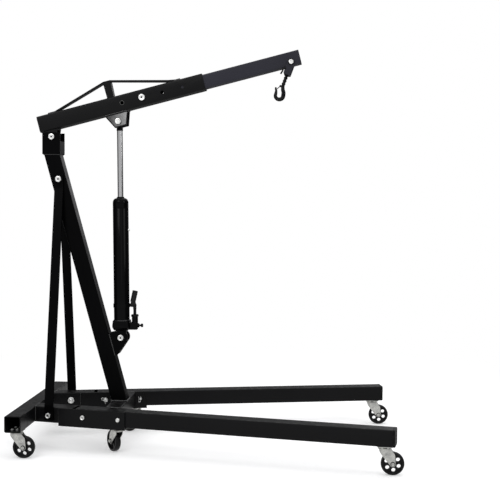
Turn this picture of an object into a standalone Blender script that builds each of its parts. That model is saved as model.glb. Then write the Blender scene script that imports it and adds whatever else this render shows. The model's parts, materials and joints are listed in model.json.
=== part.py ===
"""Folding hydraulic workshop crane. Metres, +Z up, +X towards the leg tips, +Y the crane's left."""

import math

import bmesh
import bpy
from mathutils import Matrix, Vector

# Fits
GAP = 0.0003
RUNNING = 0.0003
EMBED = 0.001

# Base
BASE_TUBE = 0.066
BASE_WALL = 0.004
UNDERSIDE = 0.112
BEAM_LENGTH = 0.740
SPLAY = math.radians(11.5)
RAIL_ROOT = 0.1226
BRACE_STATION = 0.139
POCKET_REAR = 0.181
PIVOT_STATION = 0.290
LOCK_STATION = 0.443
POCKET_FRONT = 0.471
LEG_REACH = 1.550
LEG_TAIL = 0.036
POCKET_WALL = 0.005
POCKET_SIDE_PLAY = 0.0003
POCKET_FLOOR_PLAY = 0.004
FOLD_PLAY = 0.002
CHEEK_SLANT = 0.018
RAIL_FRONT = 0.240
LEG_BOLT_R = 0.006
BASE_BOLT_R = 0.007
FOOT_X = 0.3868
CROSS_HEIGHT = 0.064

# Mast
MAST_TUBE = 0.065
MAST_WALL = 0.004
MAST_LEAN = math.radians(15.5)
HEAD_Z = 1.217
HEAD_BLOCK = 0.055
HEAD_EARS = 0.036
HEAD_WALL = 0.006
HEAD_DEPTH = 0.076
BRACE_WIDTH = 0.038
BRACE_THICK = 0.010
BRACE_TOP_X = 0.131
BRACE_TOP_Z = 1.1125
MAST_BOLT_R = 0.008

# Boom, in its own frame: distance along it from the pivot, and height square to it
PIVOT_X = 0.101
PIVOT_Z = 1.290
BOOM_ANGLE = math.radians(14.5)
BOOM_TUBE = 0.069
BOOM_WALL = 0.0052
BOOM_SEAT = 0.029
BOOM_TAIL = 0.045
BOOM_END = 0.676
HOLE_FIRST = 0.323
HOLE_PITCH = 0.087
HOLE_COUNT = 4
LOCK_HOLE = 1
EXTENSION_TUBE = 0.058
EXTENSION_WALL = 0.004
EXTENSION_TIP = 1.088
EXTENSION_IN = 0.087
EXTENSION_OUT = 0.170
HOOK_PIN_BACK = 0.0405
HOOK_PIN_RISE = 0.015
LUG_TOP_REAR = 0.236
LUG_TOP_FRONT = 0.337
LUG_LOW_REAR = 0.268
LUG_LOW_FRONT = 0.317
LUG_DROP = 0.060
LUG_HALF = 0.030
LUG_WALL = 0.006
RAM_TOP_ALONG = 0.288
RAM_TOP_SQUARE = -0.0073
TRUSS_WIDTH = 0.038
TRUSS_THICK = 0.005
TRUSS_REAR = 0.034
TRUSS_POST_REAR = 0.264
TRUSS_POST_FRONT = 0.293
TRUSS_RISE = 0.067
TRUSS_FRONT = 0.552
TRUSS_TAB = 0.030

# Ram
RAM_FOOT_X = 0.393
RAM_FOOT_Z = 0.445
CYLINDER_R = 0.033
ROD_R = 0.012
PISTON_LOW = 0.156
RAM_PIN_R = 0.008
BASE_BLOCK_LOW = 0.031
BASE_BLOCK_TOP = 0.071
SHOULDER = 0.570
CAP_RISE = 0.022
EYE_FRONT = 0.0135
EYE_REAR = 0.0195
EYE_WALL = 0.006
BRACKET_HALF = 0.026
BRACKET_WALL = 0.006

# Pump
PUMP_X = 0.056
PUMP_R = 0.0105
PUMP_TOP = 0.095
PLUNGER_PIN = 0.133
PLUNGER_EYE_R = 0.0050
PLUNGER_EYE_WALL = 0.0017
LINK_OUT = 0.009
LINK_UP = 0.135
SOCKET_R = 0.0115
SOCKET_OUT = 0.015
SOCKET_UP = 0.149
SOCKET_LENGTH = 0.048
SOCKET_LEAN = math.radians(13)

# Hook
HOOK_TILT = math.radians(20)
CLEVIS_WALL = 0.004
CLEVIS_WIDTH = 0.030
CLEVIS_DROP = 0.054
HOOK_PIN_R = 0.006
HOOK_SHANK_R = 0.0055
BOWL_DROP = 0.143
BOWL_R = 0.0165

# Casters
WHEEL_D = 0.089
WHEEL_WIDTH = 0.024
CASTER_TRAIL = 0.030
CASTER_PLATE = 0.003
PLATE_SIZE = 0.058
FORK_WALL = 0.0025
AXLE_R = 0.005
REAR_CASTER_Y = 0.315
MID_STATION = 0.420
MID_INSET = 0.008
FRONT_INSET = 0.043
MID_HEADING = math.radians(128)

X = Vector((1, 0, 0))
Y = Vector((0, 1, 0))
Z = Vector((0, 0, 1))
BASE_MID = UNDERSIDE + BASE_TUBE / 2
BASE_TOP = UNDERSIDE + BASE_TUBE
SIDES = {"right": -1, "left": 1}
BOOM_DIR = Vector((math.cos(BOOM_ANGLE), 0, math.sin(BOOM_ANGLE)))
BOOM_UP = Vector((-math.sin(BOOM_ANGLE), 0, math.cos(BOOM_ANGLE)))
BOOM_PIVOT = Vector((PIVOT_X, 0, PIVOT_Z))
MAST_DIR = Vector((-math.sin(MAST_LEAN), 0, math.cos(MAST_LEAN)))
MAST_FRONT = Vector((math.cos(MAST_LEAN), 0, math.sin(MAST_LEAN)))
MAST_FOOT = Vector((FOOT_X, 0, UNDERSIDE + CROSS_HEIGHT))
RAM_FOOT = Vector((RAM_FOOT_X, 0, RAM_FOOT_Z))
MATERIALS = {}


def material(name, colour, metallic, roughness):
    made = bpy.data.materials.new(name)
    made.use_nodes = True
    shader = made.node_tree.nodes["Principled BSDF"]
    shader.inputs["Base Color"].default_value = (*colour, 1)
    shader.inputs["Metallic"].default_value = metallic
    shader.inputs["Roughness"].default_value = roughness
    MATERIALS[name] = made


# ---------------------------------------------------------------- meshes
def to_object(points, faces):
    mesh = bpy.data.meshes.new("piece")
    mesh.from_pydata([tuple(p) for p in points], [], faces)
    work = bmesh.new()
    work.from_mesh(mesh)
    bmesh.ops.recalc_face_normals(work, faces=work.faces)
    work.to_mesh(mesh)
    work.free()
    made = bpy.data.objects.new("piece", mesh)
    bpy.context.scene.collection.objects.link(made)
    return made


def loft(rings):
    """A closed solid through rings of equal length."""
    count = len(rings[0])
    points = [p for ring in rings for p in ring]
    faces = [list(range(count)), list(range(len(points) - count, len(points)))]
    for k in range(len(rings) - 1):
        for i in range(count):
            j = (i + 1) % count
            faces.append([k * count + i, k * count + j, (k + 1) * count + j, (k + 1) * count + i])
    return to_object(points, faces)


def pipe(rings_out, rings_in):
    """A hollow solid, open at both ends, between two lists of rings of equal length."""
    count = len(rings_out[0])
    loop = rings_out + rings_in[::-1]
    points = [p for ring in loop for p in ring]
    faces = []
    for k in range(len(loop)):
        n = (k + 1) % len(loop)
        for i in range(count):
            j = (i + 1) % count
            faces.append([k * count + i, k * count + j, n * count + j, n * count + i])
    return to_object(points, faces)


def rounded(width, height, radius, steps=2):
    """The outline of a rounded rectangle about the origin."""
    outline = []
    for corner in range(4):
        sx = 1 if corner in (0, 3) else -1
        sy = 1 if corner in (0, 1) else -1
        cx = sx * (width / 2 - radius)
        cy = sy * (height / 2 - radius)
        for k in range(steps + 1):
            turn = math.pi / 2 * (corner + k / steps)
            outline.append((cx + radius * math.cos(turn), cy + radius * math.sin(turn)))
    return outline


def circle(radius, steps=24):
    turns = [2 * math.pi * k / steps for k in range(steps)]
    return [(radius * math.cos(t), radius * math.sin(t)) for t in turns]


def hexagon(across, steps=12):
    outline = []
    for k in range(steps):
        turn = 2 * math.pi * k / steps
        off = (turn + math.pi / 6) % (math.pi / 3) - math.pi / 6
        size = across / 2 / math.cos(off)
        outline.append((size * math.cos(turn), size * math.sin(turn)))
    return outline


def placed(outline, centre, u, v):
    return [centre + u * a + v * b for a, b in outline]


def to_plane(outline, start, u, v, along, plane):
    """The outline carried along its sweep onto a plane given as (point, normal)."""
    point, normal = plane
    ring = []
    for a, b in outline:
        p = start + u * a + v * b
        ring.append(p + along * ((point - p).dot(normal) / along.dot(normal)))
    return ring


def tube(start, end, u, width, height, wall, planes=None, stations=()):
    """A square tube with rounded edges. u is the direction its width lies in."""
    along = (end - start).normalized()
    v = along.cross(u)
    first, last = planes or ((start, along), (end, along))
    cuts = [first] + [(start + along * s, along) for s in stations] + [last]
    outer = rounded(width, height, wall * 1.5)
    inner = rounded(width - 2 * wall, height - 2 * wall, wall * 0.5)
    outs = [to_plane(outer, start, u, v, along, plane) for plane in cuts]
    ins = [to_plane(inner, start, u, v, along, plane) for plane in cuts]
    return pipe(outs, ins)


def block(centre, u, v, w, sizes):
    outline = [(-0.5, -0.5), (0.5, -0.5), (0.5, 0.5), (-0.5, 0.5)]
    outline = [(a * sizes[0], b * sizes[1]) for a, b in outline]
    ends = [centre + w * (sizes[2] / 2 * k) for k in (-1, 1)]
    return loft([placed(outline, end, u, v) for end in ends])


def prism(outline, origin, u, v, low, high):
    """The outline in the plane of u and v, drawn out square to it from low to high."""
    w = u.cross(v)
    return loft([placed(outline, origin + w * k, u, v) for k in (low, high)])


def rod(start, end, radius, steps=24):
    along = (end - start).normalized()
    u = along.orthogonal().normalized()
    v = along.cross(u)
    return loft([placed(circle(radius, steps), p, u, v) for p in (start, end)])


def stack(origin, along, u, layers):
    """A solid through (distance, outline) layers along a direction."""
    v = along.cross(u)
    return loft([placed(outline, origin + along * d, u, v) for d, outline in layers])


def arc(cx, cy, radius, start, end, steps=8):
    """Points on an arc, angles in degrees."""
    turns = [math.radians(start + (end - start) * k / steps) for k in range(steps + 1)]
    return [(cx + radius * math.cos(t), cy + radius * math.sin(t)) for t in turns]


def combine(base, others, operation):
    for other in others:
        modifier = base.modifiers.new(operation, "BOOLEAN")
        modifier.operation = operation
        modifier.solver = "EXACT"
        modifier.object = other
    bpy.context.view_layer.update()
    graph = bpy.context.evaluated_depsgraph_get()
    mesh = bpy.data.meshes.new_from_object(base.evaluated_get(graph))
    base.modifiers.clear()
    base.data = mesh
    for other in others:
        bpy.data.objects.remove(other)
    return base


def cut(base, *others):
    return combine(base, others, "DIFFERENCE")


def union(base, *others):
    return combine(base, others, "UNION")


def finish(made, name, look, pivot=None):
    """Names a solid, gives it its material and moves its origin to the pivot."""
    made.name = name
    made.data.name = name
    if pivot is not None:
        made.data.transform(Matrix.Translation(-pivot))
        made.location = pivot
    made.data.materials.clear()
    made.data.materials.append(MATERIALS[look])
    return made


def hole(point, along, radius, reach=0.2):
    u = along.orthogonal().normalized()
    u = (u * math.cos(0.1) + along.cross(u) * math.sin(0.1)).normalized()
    v = along.cross(u)
    return loft([placed(circle(radius, 16), point + along * k, u, v) for k in (-reach, reach)])


def bolt(name, centre, along, half, radius, look="bolt_zinc", pivot=None, half_out=None):
    """A bolt with a washer and a hex head at one end and a nut at the other."""
    far = half if half_out is None else half_out
    u = along.orthogonal().normalized()
    washer = circle(radius * 1.9, 12)
    hexed = hexagon(radius * 3.0)
    shaft = circle(radius, 12)
    a = half + GAP
    b = far + GAP
    head = radius * 1.1
    layers = [(-a - head, hexed), (-a - 0.0016, hexed), (-a - 0.0016, washer), (-a, washer)]
    layers += [(-a, shaft), (b, shaft), (b, hexed), (b + head, hexed)]
    return finish(stack(centre, along, u, layers), name, look, pivot)


# ---------------------------------------------------------------- base
def rail_dir(side):
    return Vector((math.cos(SPLAY), side * math.sin(SPLAY), 0))


def rail_out(side):
    return Vector((-math.sin(SPLAY), side * math.cos(SPLAY), 0))


def on_rail(side, station, out=0.0, z=BASE_MID):
    return Vector((0, side * RAIL_ROOT, z)) + rail_dir(side) * station + rail_out(side) * out


def pocket_half():
    return BASE_TUBE / 2 + POCKET_SIDE_PLAY + POCKET_WALL


def pocket_inner():
    return BASE_TUBE / 2 + POCKET_SIDE_PLAY


def pocket_low():
    return UNDERSIDE - POCKET_FLOOR_PLAY - POCKET_WALL


def build_beam():
    centre = Vector((BASE_TUBE / 2, 0, BASE_MID))
    ends = [centre + Y * (BEAM_LENGTH / 2 * k) for k in (-1, 1)]
    beam = tube(ends[0], ends[1], X, BASE_TUBE, BASE_TUBE, BASE_WALL)
    finish(beam, "rear_crossbeam", "base_paint")


def build_rail(label, side):
    along = rail_dir(side)
    start = on_rail(side, 0.05)
    end = on_rail(side, RAIL_FRONT)
    planes = ((Vector((BASE_TUBE + GAP, 0, 0)), X), (end, along))
    rail = tube(start, end, rail_out(side), BASE_TUBE, BASE_TUBE, BASE_WALL, planes)
    cut(rail, hole(on_rail(side, BRACE_STATION), rail_out(side), BASE_BOLT_R + GAP, 0.08))
    finish(rail, "side_rail_" + label, "base_paint")


def build_pocket(label, side):
    """A channel round the leg's root: two cheeks with a floor ahead of the pivot."""
    along, out = rail_dir(side), rail_out(side)
    low = pocket_low()
    height = BASE_TOP - 0.002 - low
    # The floor starts ahead of the leg's lower face where it stands upright, folded.
    start = PIVOT_STATION + BASE_TUBE / 2 + FOLD_PLAY
    end = POCKET_FRONT - 0.001
    size = (end - start, 2 * pocket_inner() + POCKET_WALL, POCKET_WALL - EMBED / 2)
    shell = block(on_rail(side, (start + end) / 2, 0, low + POCKET_WALL - size[2] / 2), along, out, Z, size)
    cheeks = []
    for k in (-1, 1):
        across = k * (pocket_inner() + POCKET_WALL / 2)
        centre = on_rail(side, (POCKET_REAR + POCKET_FRONT) / 2, across, low + height / 2)
        cheeks.append(block(centre, along, out, Z, (POCKET_FRONT - POCKET_REAR, POCKET_WALL, height)))
    union(shell, *cheeks)
    bolts = [hole(on_rail(side, s), out, LEG_BOLT_R + GAP, 0.08) for s in (PIVOT_STATION, LOCK_STATION)]
    cut(shell, *bolts, cheek_slant(side))
    finish(shell, "leg_pocket_" + label, "base_paint")


def cheek_slant(side):
    """The wedge that leans the front edge of the inner cheek back."""
    low, top = UNDERSIDE, BASE_TOP - 0.002
    beyond = 0.01
    rise = (top - low) * beyond / CHEEK_SLANT
    outline = [(POCKET_FRONT + beyond, low - rise), (POCKET_FRONT + beyond, top + rise)]
    outline += [(POCKET_FRONT - CHEEK_SLANT - beyond, top + rise)]
    return prism(outline, on_rail(side, 0, 0, 0), rail_dir(side), Z, *sorted((side * 0.02, side * 0.06)))


def build_leg(label, side):
    along, out = rail_dir(side), rail_out(side)
    pivot = on_rail(side, PIVOT_STATION)
    start = on_rail(side, PIVOT_STATION - LEG_TAIL)
    end = on_rail(side, LEG_REACH)
    leg = tube(start, end, out, BASE_TUBE, BASE_TUBE, BASE_WALL)
    slot_width = 2 * LEG_BOLT_R + 2 * RUNNING
    lock = on_rail(side, LOCK_STATION)
    # The slot leans back as the arc the lock pin follows when the leg lifts off it.
    back = (LOCK_STATION - PIVOT_STATION) * (1 - math.cos(math.radians(18)))
    slot = block(
        lock - Z * BASE_TUBE * 0.4 - along * back / 2,
        along, out, Z, (slot_width + back, 0.2, BASE_TUBE * 0.8),
    )
    cutters = [hole(pivot, out, LEG_BOLT_R + RUNNING, 0.08), hole(lock, out, LEG_BOLT_R + RUNNING, 0.08)]
    cut(leg, *cutters, slot)
    finish(leg, "leg_" + label, "base_paint", pivot)


def build_base_bolts(label, side):
    out = rail_out(side)
    half = pocket_half()
    bolt("leg_pivot_bolt_" + label, on_rail(side, PIVOT_STATION), out * -1, half, LEG_BOLT_R)
    lock = on_rail(side, LOCK_STATION)
    u = rail_dir(side)
    grip = circle(LEG_BOLT_R * 1.9, 16)
    shaft = circle(LEG_BOLT_R, 16)
    nose = circle(LEG_BOLT_R * 0.7, 16)
    layers = [(-half - 0.008, nose), (-half - 0.005, shaft), (half + GAP, shaft), (half + GAP, grip)]
    layers += [(half + 0.007, grip), (half + 0.009, shaft)]
    pin = stack(lock, out, u, layers)
    finish(pin, "lock_pin_" + label, "bolt_zinc", lock)
    thick = BRACE_THICK + BASE_TUBE / 2 + GAP
    bolt("brace_foot_bolt_" + label, on_rail(side, BRACE_STATION), out * -1, thick, BASE_BOLT_R,
         half_out=BASE_TUBE / 2)


def build_crossmember():
    """The tube between the pockets, flush with the rails' tops, that carries the mast."""
    centre = Vector((FOOT_X, 0, UNDERSIDE + CROSS_HEIGHT / 2))
    planes = []
    for side in (-1, 1):
        wall = on_rail(side, 0.4, -pocket_half() - GAP)
        planes.append((wall, rail_out(side)))
    bar = tube(centre - Y, centre + Y, X, BASE_TUBE, CROSS_HEIGHT, BASE_WALL, planes)
    finish(bar, "front_crossmember", "base_paint")


# ---------------------------------------------------------------- mast
def mast_axis(z):
    return MAST_FOOT + MAST_DIR * ((z - MAST_FOOT.z) / MAST_DIR.z)


def build_mast():
    planes = ((MAST_FOOT + Z * GAP, Z), (Vector((0, 0, HEAD_Z - GAP)), Z))
    mast = tube(MAST_FOOT, mast_axis(HEAD_Z), MAST_FRONT, MAST_TUBE, MAST_TUBE, MAST_WALL, planes)
    brace_top = Vector((BRACE_TOP_X, 0, BRACE_TOP_Z))
    cut(mast, hole(brace_top, Y, MAST_BOLT_R + GAP, 0.1))
    finish(mast, "mast", "mast_paint")


def build_head():
    half = MAST_TUBE / 2 + HEAD_WALL
    centre = mast_axis(HEAD_Z).x
    low = [(-half, 0), (half, 0), (half, HEAD_BLOCK + HEAD_EARS), (half - HEAD_WALL, HEAD_BLOCK + HEAD_EARS)]
    low += [(half - HEAD_WALL, HEAD_BLOCK), (-half + HEAD_WALL, HEAD_BLOCK)]
    low += [(-half + HEAD_WALL, HEAD_BLOCK + HEAD_EARS), (-half, HEAD_BLOCK + HEAD_EARS)]
    origin = Vector((centre, 0, HEAD_Z))
    head = prism(low, origin, Y, Z, -HEAD_DEPTH / 2, HEAD_DEPTH / 2)
    cut(head, hole(BOOM_PIVOT, Y, MAST_BOLT_R + GAP, 0.1))
    finish(head, "mast_head", "mast_paint")
    bolt("boom_pivot_bolt", BOOM_PIVOT, Y, half, MAST_BOLT_R)


def brace_ring(centre, wide, thick):
    return placed(rounded(BRACE_WIDTH, BRACE_THICK, 0.002, 2), centre, wide, thick)


def build_brace(label, side):
    """A flat bar from the rail's outer face up to the mast's side, bent flat at both ends."""
    out = rail_out(side)
    side_out = Y * side
    lift = BASE_TUBE / 2 + GAP + BRACE_THICK / 2
    foot = on_rail(side, BRACE_STATION, lift)
    top = Vector((BRACE_TOP_X, side * (MAST_TUBE / 2 + GAP + BRACE_THICK / 2), BRACE_TOP_Z))
    bend_low = foot + Z * BASE_TUBE * 0.62
    bend_high = top - Z * 0.045
    slope = (bend_high - bend_low).normalized()
    wide = side_out.cross(slope).normalized() * side
    lean = slope.cross(wide).normalized() * side
    rings = [brace_ring(foot - Z * 0.022, rail_dir(side), out), brace_ring(bend_low, rail_dir(side), out)]
    for point in (bend_low + slope * 0.03, bend_high - slope * 0.02):
        rings.append(brace_ring(point, wide, lean))
    rings += [brace_ring(bend_high, X, side_out), brace_ring(top + Z * 0.022, X, side_out)]
    if side < 0:
        rings = [[ring[0]] + ring[:0:-1] for ring in rings]
    brace = loft(rings)
    cut(brace, hole(foot, out, BASE_BOLT_R + GAP, 0.05), hole(top, Y, MAST_BOLT_R + GAP, 0.03))
    finish(brace, "brace_" + label, "mast_paint")


def build_brace_top_bolt():
    half = MAST_TUBE / 2 + GAP + BRACE_THICK
    bolt("brace_top_bolt", Vector((BRACE_TOP_X, 0, BRACE_TOP_Z)), Y, half, MAST_BOLT_R)


def build_ram_bracket():
    """Two cheeks and a web on the mast's front face, round the ram's foot pin."""
    local = RAM_FOOT - mast_axis(RAM_FOOT.z)
    reach = local.dot(MAST_FRONT)
    rise = local.dot(MAST_DIR)
    face = MAST_TUBE / 2 + GAP
    outline = [(face, rise - 0.070), (face + 0.014, rise - 0.066)]
    outline += arc(reach, rise, 0.030, -38, 110, 10)
    outline += [(face, rise + 0.031)]
    origin = mast_axis(RAM_FOOT.z)
    cheek = prism(outline, origin, MAST_FRONT, MAST_DIR, -BRACKET_HALF, BRACKET_HALF)
    room = block(
        origin + MAST_FRONT * (face + BRACKET_WALL + 0.1) + MAST_DIR * rise,
        MAST_FRONT, Y, MAST_DIR, (0.2, 2 * (BRACKET_HALF - BRACKET_WALL), 0.4),
    )
    cut(cheek, room, hole(RAM_FOOT, Y, RAM_PIN_R + GAP, 0.1))
    finish(cheek, "mast_ram_bracket", "mast_paint")
    bolt("ram_foot_pin", RAM_FOOT, Y, BRACKET_HALF, RAM_PIN_R)


# ---------------------------------------------------------------- boom
def on_boom(along, square, y=0.0):
    return BOOM_PIVOT + BOOM_DIR * along + BOOM_UP * square + Y * y


def boom_mid():
    return BOOM_SEAT + BOOM_TUBE / 2


def build_boom():
    stations = [HOLE_FIRST + k * HOLE_PITCH for k in range(HOLE_COUNT)]
    between = [s + BOOM_TAIL + HOLE_PITCH / 2 for s in stations[:-1]]
    start, end = on_boom(-BOOM_TAIL, boom_mid()), on_boom(BOOM_END, boom_mid())
    boom = tube(start, end, Y, BOOM_TUBE, BOOM_TUBE, BOOM_WALL, stations=between)
    cut(boom, *[hole(on_boom(s, boom_mid()), Y, BASE_BOLT_R + GAP, 0.1) for s in stations])
    finish(boom, "boom", "boom_paint", BOOM_PIVOT)


def build_pivot_lug():
    half = MAST_TUBE / 2 - 0.0005
    top = BOOM_SEAT - GAP
    outline = arc(0, 0, 0.0155, 200, 340, 8) + [(0.030, top), (-0.030, top)]
    lug = prism(outline, BOOM_PIVOT, BOOM_DIR, BOOM_UP, -half, half)
    room = block(on_boom(0, top - 0.055), BOOM_DIR, Y, BOOM_UP, (0.2, 2 * half - 0.014, 0.1))
    cut(lug, hole(BOOM_PIVOT, Y, MAST_BOLT_R + RUNNING, 0.1), room)
    finish(lug, "boom_pivot_lug", "boom_paint", BOOM_PIVOT)


def ram_top():
    return on_boom(RAM_TOP_ALONG, RAM_TOP_SQUARE)


def build_ram_lug():
    top = BOOM_SEAT - GAP
    low = BOOM_SEAT - LUG_DROP
    outline = [(LUG_LOW_REAR, low), (LUG_LOW_FRONT, low), (LUG_TOP_FRONT, top), (LUG_TOP_REAR, top)]
    lug = prism(outline, BOOM_PIVOT, BOOM_DIR, BOOM_UP, -LUG_HALF, LUG_HALF)
    room = block(
        on_boom((LUG_TOP_REAR + LUG_TOP_FRONT) / 2, top - 0.004 - 0.05),
        BOOM_DIR, Y, BOOM_UP, (0.3, 2 * (LUG_HALF - LUG_WALL), 0.1),
    )
    cut(lug, room, hole(ram_top(), Y, RAM_PIN_R + GAP, 0.1))
    finish(lug, "boom_ram_lug", "boom_paint", BOOM_PIVOT)
    bolt("ram_top_pin", ram_top(), Y, LUG_HALF, RAM_PIN_R, pivot=BOOM_PIVOT)


def build_truss():
    """A strap over a post, its two ends laid flat on the boom."""
    deck = BOOM_SEAT + BOOM_TUBE + GAP
    t = TRUSS_THICK
    peak = deck + TRUSS_RISE
    rear, front = TRUSS_REAR, TRUSS_FRONT
    a, b = TRUSS_POST_REAR, TRUSS_POST_FRONT
    over = [(rear - TRUSS_TAB, deck + t), (rear, deck + t), (a, peak + t), (b, peak + t)]
    over += [(front - 0.02, deck + 2.1 * t), (front + 0.01, deck + t), (front + TRUSS_TAB, deck + t)]
    under = [(front + TRUSS_TAB, deck), (front, deck), (front - 0.03, deck + 1.1 * t)]
    under += [(b + 0.002, peak - 0.002), (b, deck), (a, deck), (a - 0.002, peak - 0.002)]
    under += [(rear + 0.003, deck), (rear - TRUSS_TAB, deck)]
    half = TRUSS_WIDTH / 2
    truss = prism(over[::-1] + under[::-1], BOOM_PIVOT, BOOM_DIR, BOOM_UP, -half, half)
    finish(truss, "boom_truss", "boom_paint", BOOM_PIVOT)


def build_extension():
    lock = HOLE_FIRST + LOCK_HOLE * HOLE_PITCH
    start = lock - EXTENSION_OUT - 0.03
    sits = boom_mid()
    size = EXTENSION_TUBE
    bar = tube(on_boom(start, sits), on_boom(EXTENSION_TIP, sits), Y, size, size, EXTENSION_WALL)
    slot_start = lock - EXTENSION_OUT
    slot_end = lock + EXTENSION_IN
    width = 2 * (BASE_BOLT_R + RUNNING)
    middle = on_boom((slot_start + slot_end) / 2, sits)
    slot = block(middle, BOOM_DIR, Y, BOOM_UP, (slot_end - slot_start, 0.2, width))
    ends = [hole(on_boom(s, sits), Y, width / 2, 0.1) for s in (slot_start, slot_end)]
    pin = hook_pin()
    cut(bar, slot, *ends, hole(pin, Y, HOOK_PIN_R + RUNNING, 0.1))
    finish(bar, "extension", "extension_paint", on_boom(lock, sits))
    bolt("extension_bolt", on_boom(lock, sits), Y, BOOM_TUBE / 2, BASE_BOLT_R, pivot=BOOM_PIVOT)


# ---------------------------------------------------------------- ram
def ram_dir():
    return (ram_top() - RAM_FOOT).normalized()


def on_ram(along, square=0.0, y=0.0):
    across = Y.cross(ram_dir())
    return RAM_FOOT + ram_dir() * along + across * square + Y * y


def build_cylinder():
    """The barrel with its domed head, bored for the rod and open at its foot."""
    up = ram_dir()
    foot = BASE_BLOCK_TOP + GAP
    bore = CYLINDER_R - 0.006
    steps = 20
    outs = [(foot, CYLINDER_R), (SHOULDER, CYLINDER_R), (SHOULDER + CAP_RISE * 0.45, CYLINDER_R * 0.93)]
    outs += [(SHOULDER + CAP_RISE * 0.8, CYLINDER_R * 0.72), (SHOULDER + CAP_RISE, CYLINDER_R * 0.5)]
    ins = [(foot, bore), (SHOULDER - 0.02, bore)]
    ins += [(d, ROD_R + RUNNING) for d in (SHOULDER - 0.02, SHOULDER, SHOULDER + CAP_RISE)]
    u = Y
    v = up.cross(u)
    rings_out = [placed(circle(r, steps), on_ram(d), u, v) for d, r in outs]
    rings_in = [placed(circle(r, steps), on_ram(d), u, v) for d, r in ins]
    barrel = pipe(rings_out, rings_in)
    finish(barrel, "ram_cylinder", "ram_paint", RAM_FOOT)


def build_ram_rod():
    """The rod with the slotted eye that the top pin crosses."""
    top = (ram_top() - RAM_FOOT).length
    across = Y.cross(ram_dir())
    eye_low = top - RAM_PIN_R - 0.0016 - EYE_WALL
    eye_high = top + RAM_PIN_R + RUNNING + EYE_WALL
    wide = EYE_REAR + EYE_FRONT + 2 * EYE_WALL
    middle = (EYE_FRONT - EYE_REAR) / 2
    thick = 2 * (LUG_HALF - LUG_WALL) - 0.001
    heart = on_ram((eye_low + eye_high) / 2, middle)
    eye = block(heart, across, Y, ram_dir(), (wide, thick, eye_high - eye_low))
    head = BASE_BLOCK_TOP + PISTON_LOW
    piston = CYLINDER_R - 0.006 - RUNNING
    sizes = [(head, piston), (head + 0.03, piston), (head + 0.03, ROD_R), (eye_low + EMBED, ROD_R)]
    layers = [(d, circle(r, 20)) for d, r in sizes]
    bar = stack(RAM_FOOT, ram_dir(), Y, layers)
    union(bar, eye)
    room = (wide - 2 * EYE_WALL, 0.1, eye_high - eye_low - 2 * EYE_WALL)
    slot = block(heart, across, Y, ram_dir(), room)
    cut(bar, slot)
    finish(bar, "ram_rod", "rod_chrome", RAM_FOOT)


def build_ram_base():
    """The cast base: foot eye, block, pump barrel and release valve boss."""
    across = Y.cross(ram_dir())
    eye_half = BRACKET_HALF - BRACKET_WALL - RUNNING
    outline = arc(0, 0, 0.018, 180, 360, 10) + [(0.018, 0.012), (0.026, BASE_BLOCK_LOW + 0.004)]
    outline += [(-0.026, BASE_BLOCK_LOW + 0.004), (-0.018, 0.012)]
    eye = prism(outline, RAM_FOOT, across, ram_dir(), -eye_half, eye_half)
    low, top = BASE_BLOCK_LOW, BASE_BLOCK_TOP
    layers = [(low, rounded(0.062, 0.062, 0.012)), (low + 0.012, rounded(0.074, 0.074, 0.014))]
    layers += [(low + 0.020, rounded(0.074, 0.074, 0.014)), (top, rounded(0.070, 0.070, 0.014))]
    body = stack(RAM_FOOT, ram_dir(), across, layers)
    elbow = on_ram((low + top) / 2 - 0.004, PUMP_X / 2 + 0.010)
    arm = block(elbow, across, Y, ram_dir(), (PUMP_X, 0.030, 0.030))
    barrel = rod(on_ram(low + 0.006, PUMP_X), on_ram(PUMP_TOP, PUMP_X), PUMP_R * 1.25)
    boss = rod(on_ram(low + 0.018, PUMP_X), on_ram(low + 0.018, PUMP_X + 0.018), 0.009)
    union(body, eye, arm, barrel, boss)
    bore = rod(on_ram(low + 0.030, PUMP_X), on_ram(PUMP_TOP + 0.02, PUMP_X), PUMP_R * 0.62 + RUNNING)
    cut(body, bore, hole(RAM_FOOT, Y, RAM_PIN_R + RUNNING, 0.1))
    finish(body, "ram_base", "ram_paint", RAM_FOOT)


def pump_link():
    """The socket's hinge, between the cylinder and the plunger."""
    return on_ram(LINK_UP, CYLINDER_R + LINK_OUT)


def build_plunger():
    across = Y.cross(ram_dir())
    low = BASE_BLOCK_LOW + 0.040
    drive = on_ram(PLUNGER_PIN, PUMP_X)
    plunger = rod(on_ram(low, PUMP_X), on_ram(PLUNGER_PIN - 0.012, PUMP_X), PUMP_R * 0.62, 12)
    width = 2 * (PLUNGER_EYE_R + PLUNGER_EYE_WALL)
    neck = block(on_ram(PLUNGER_PIN - 0.004, PUMP_X), across, Y, ram_dir(), (width, 0.006, 0.022))
    union(plunger, neck)
    cut(plunger, hole(drive, Y, PLUNGER_EYE_R, 0.02))
    finish(plunger, "pump_plunger", "bolt_zinc", on_ram(low, PUMP_X))


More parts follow.
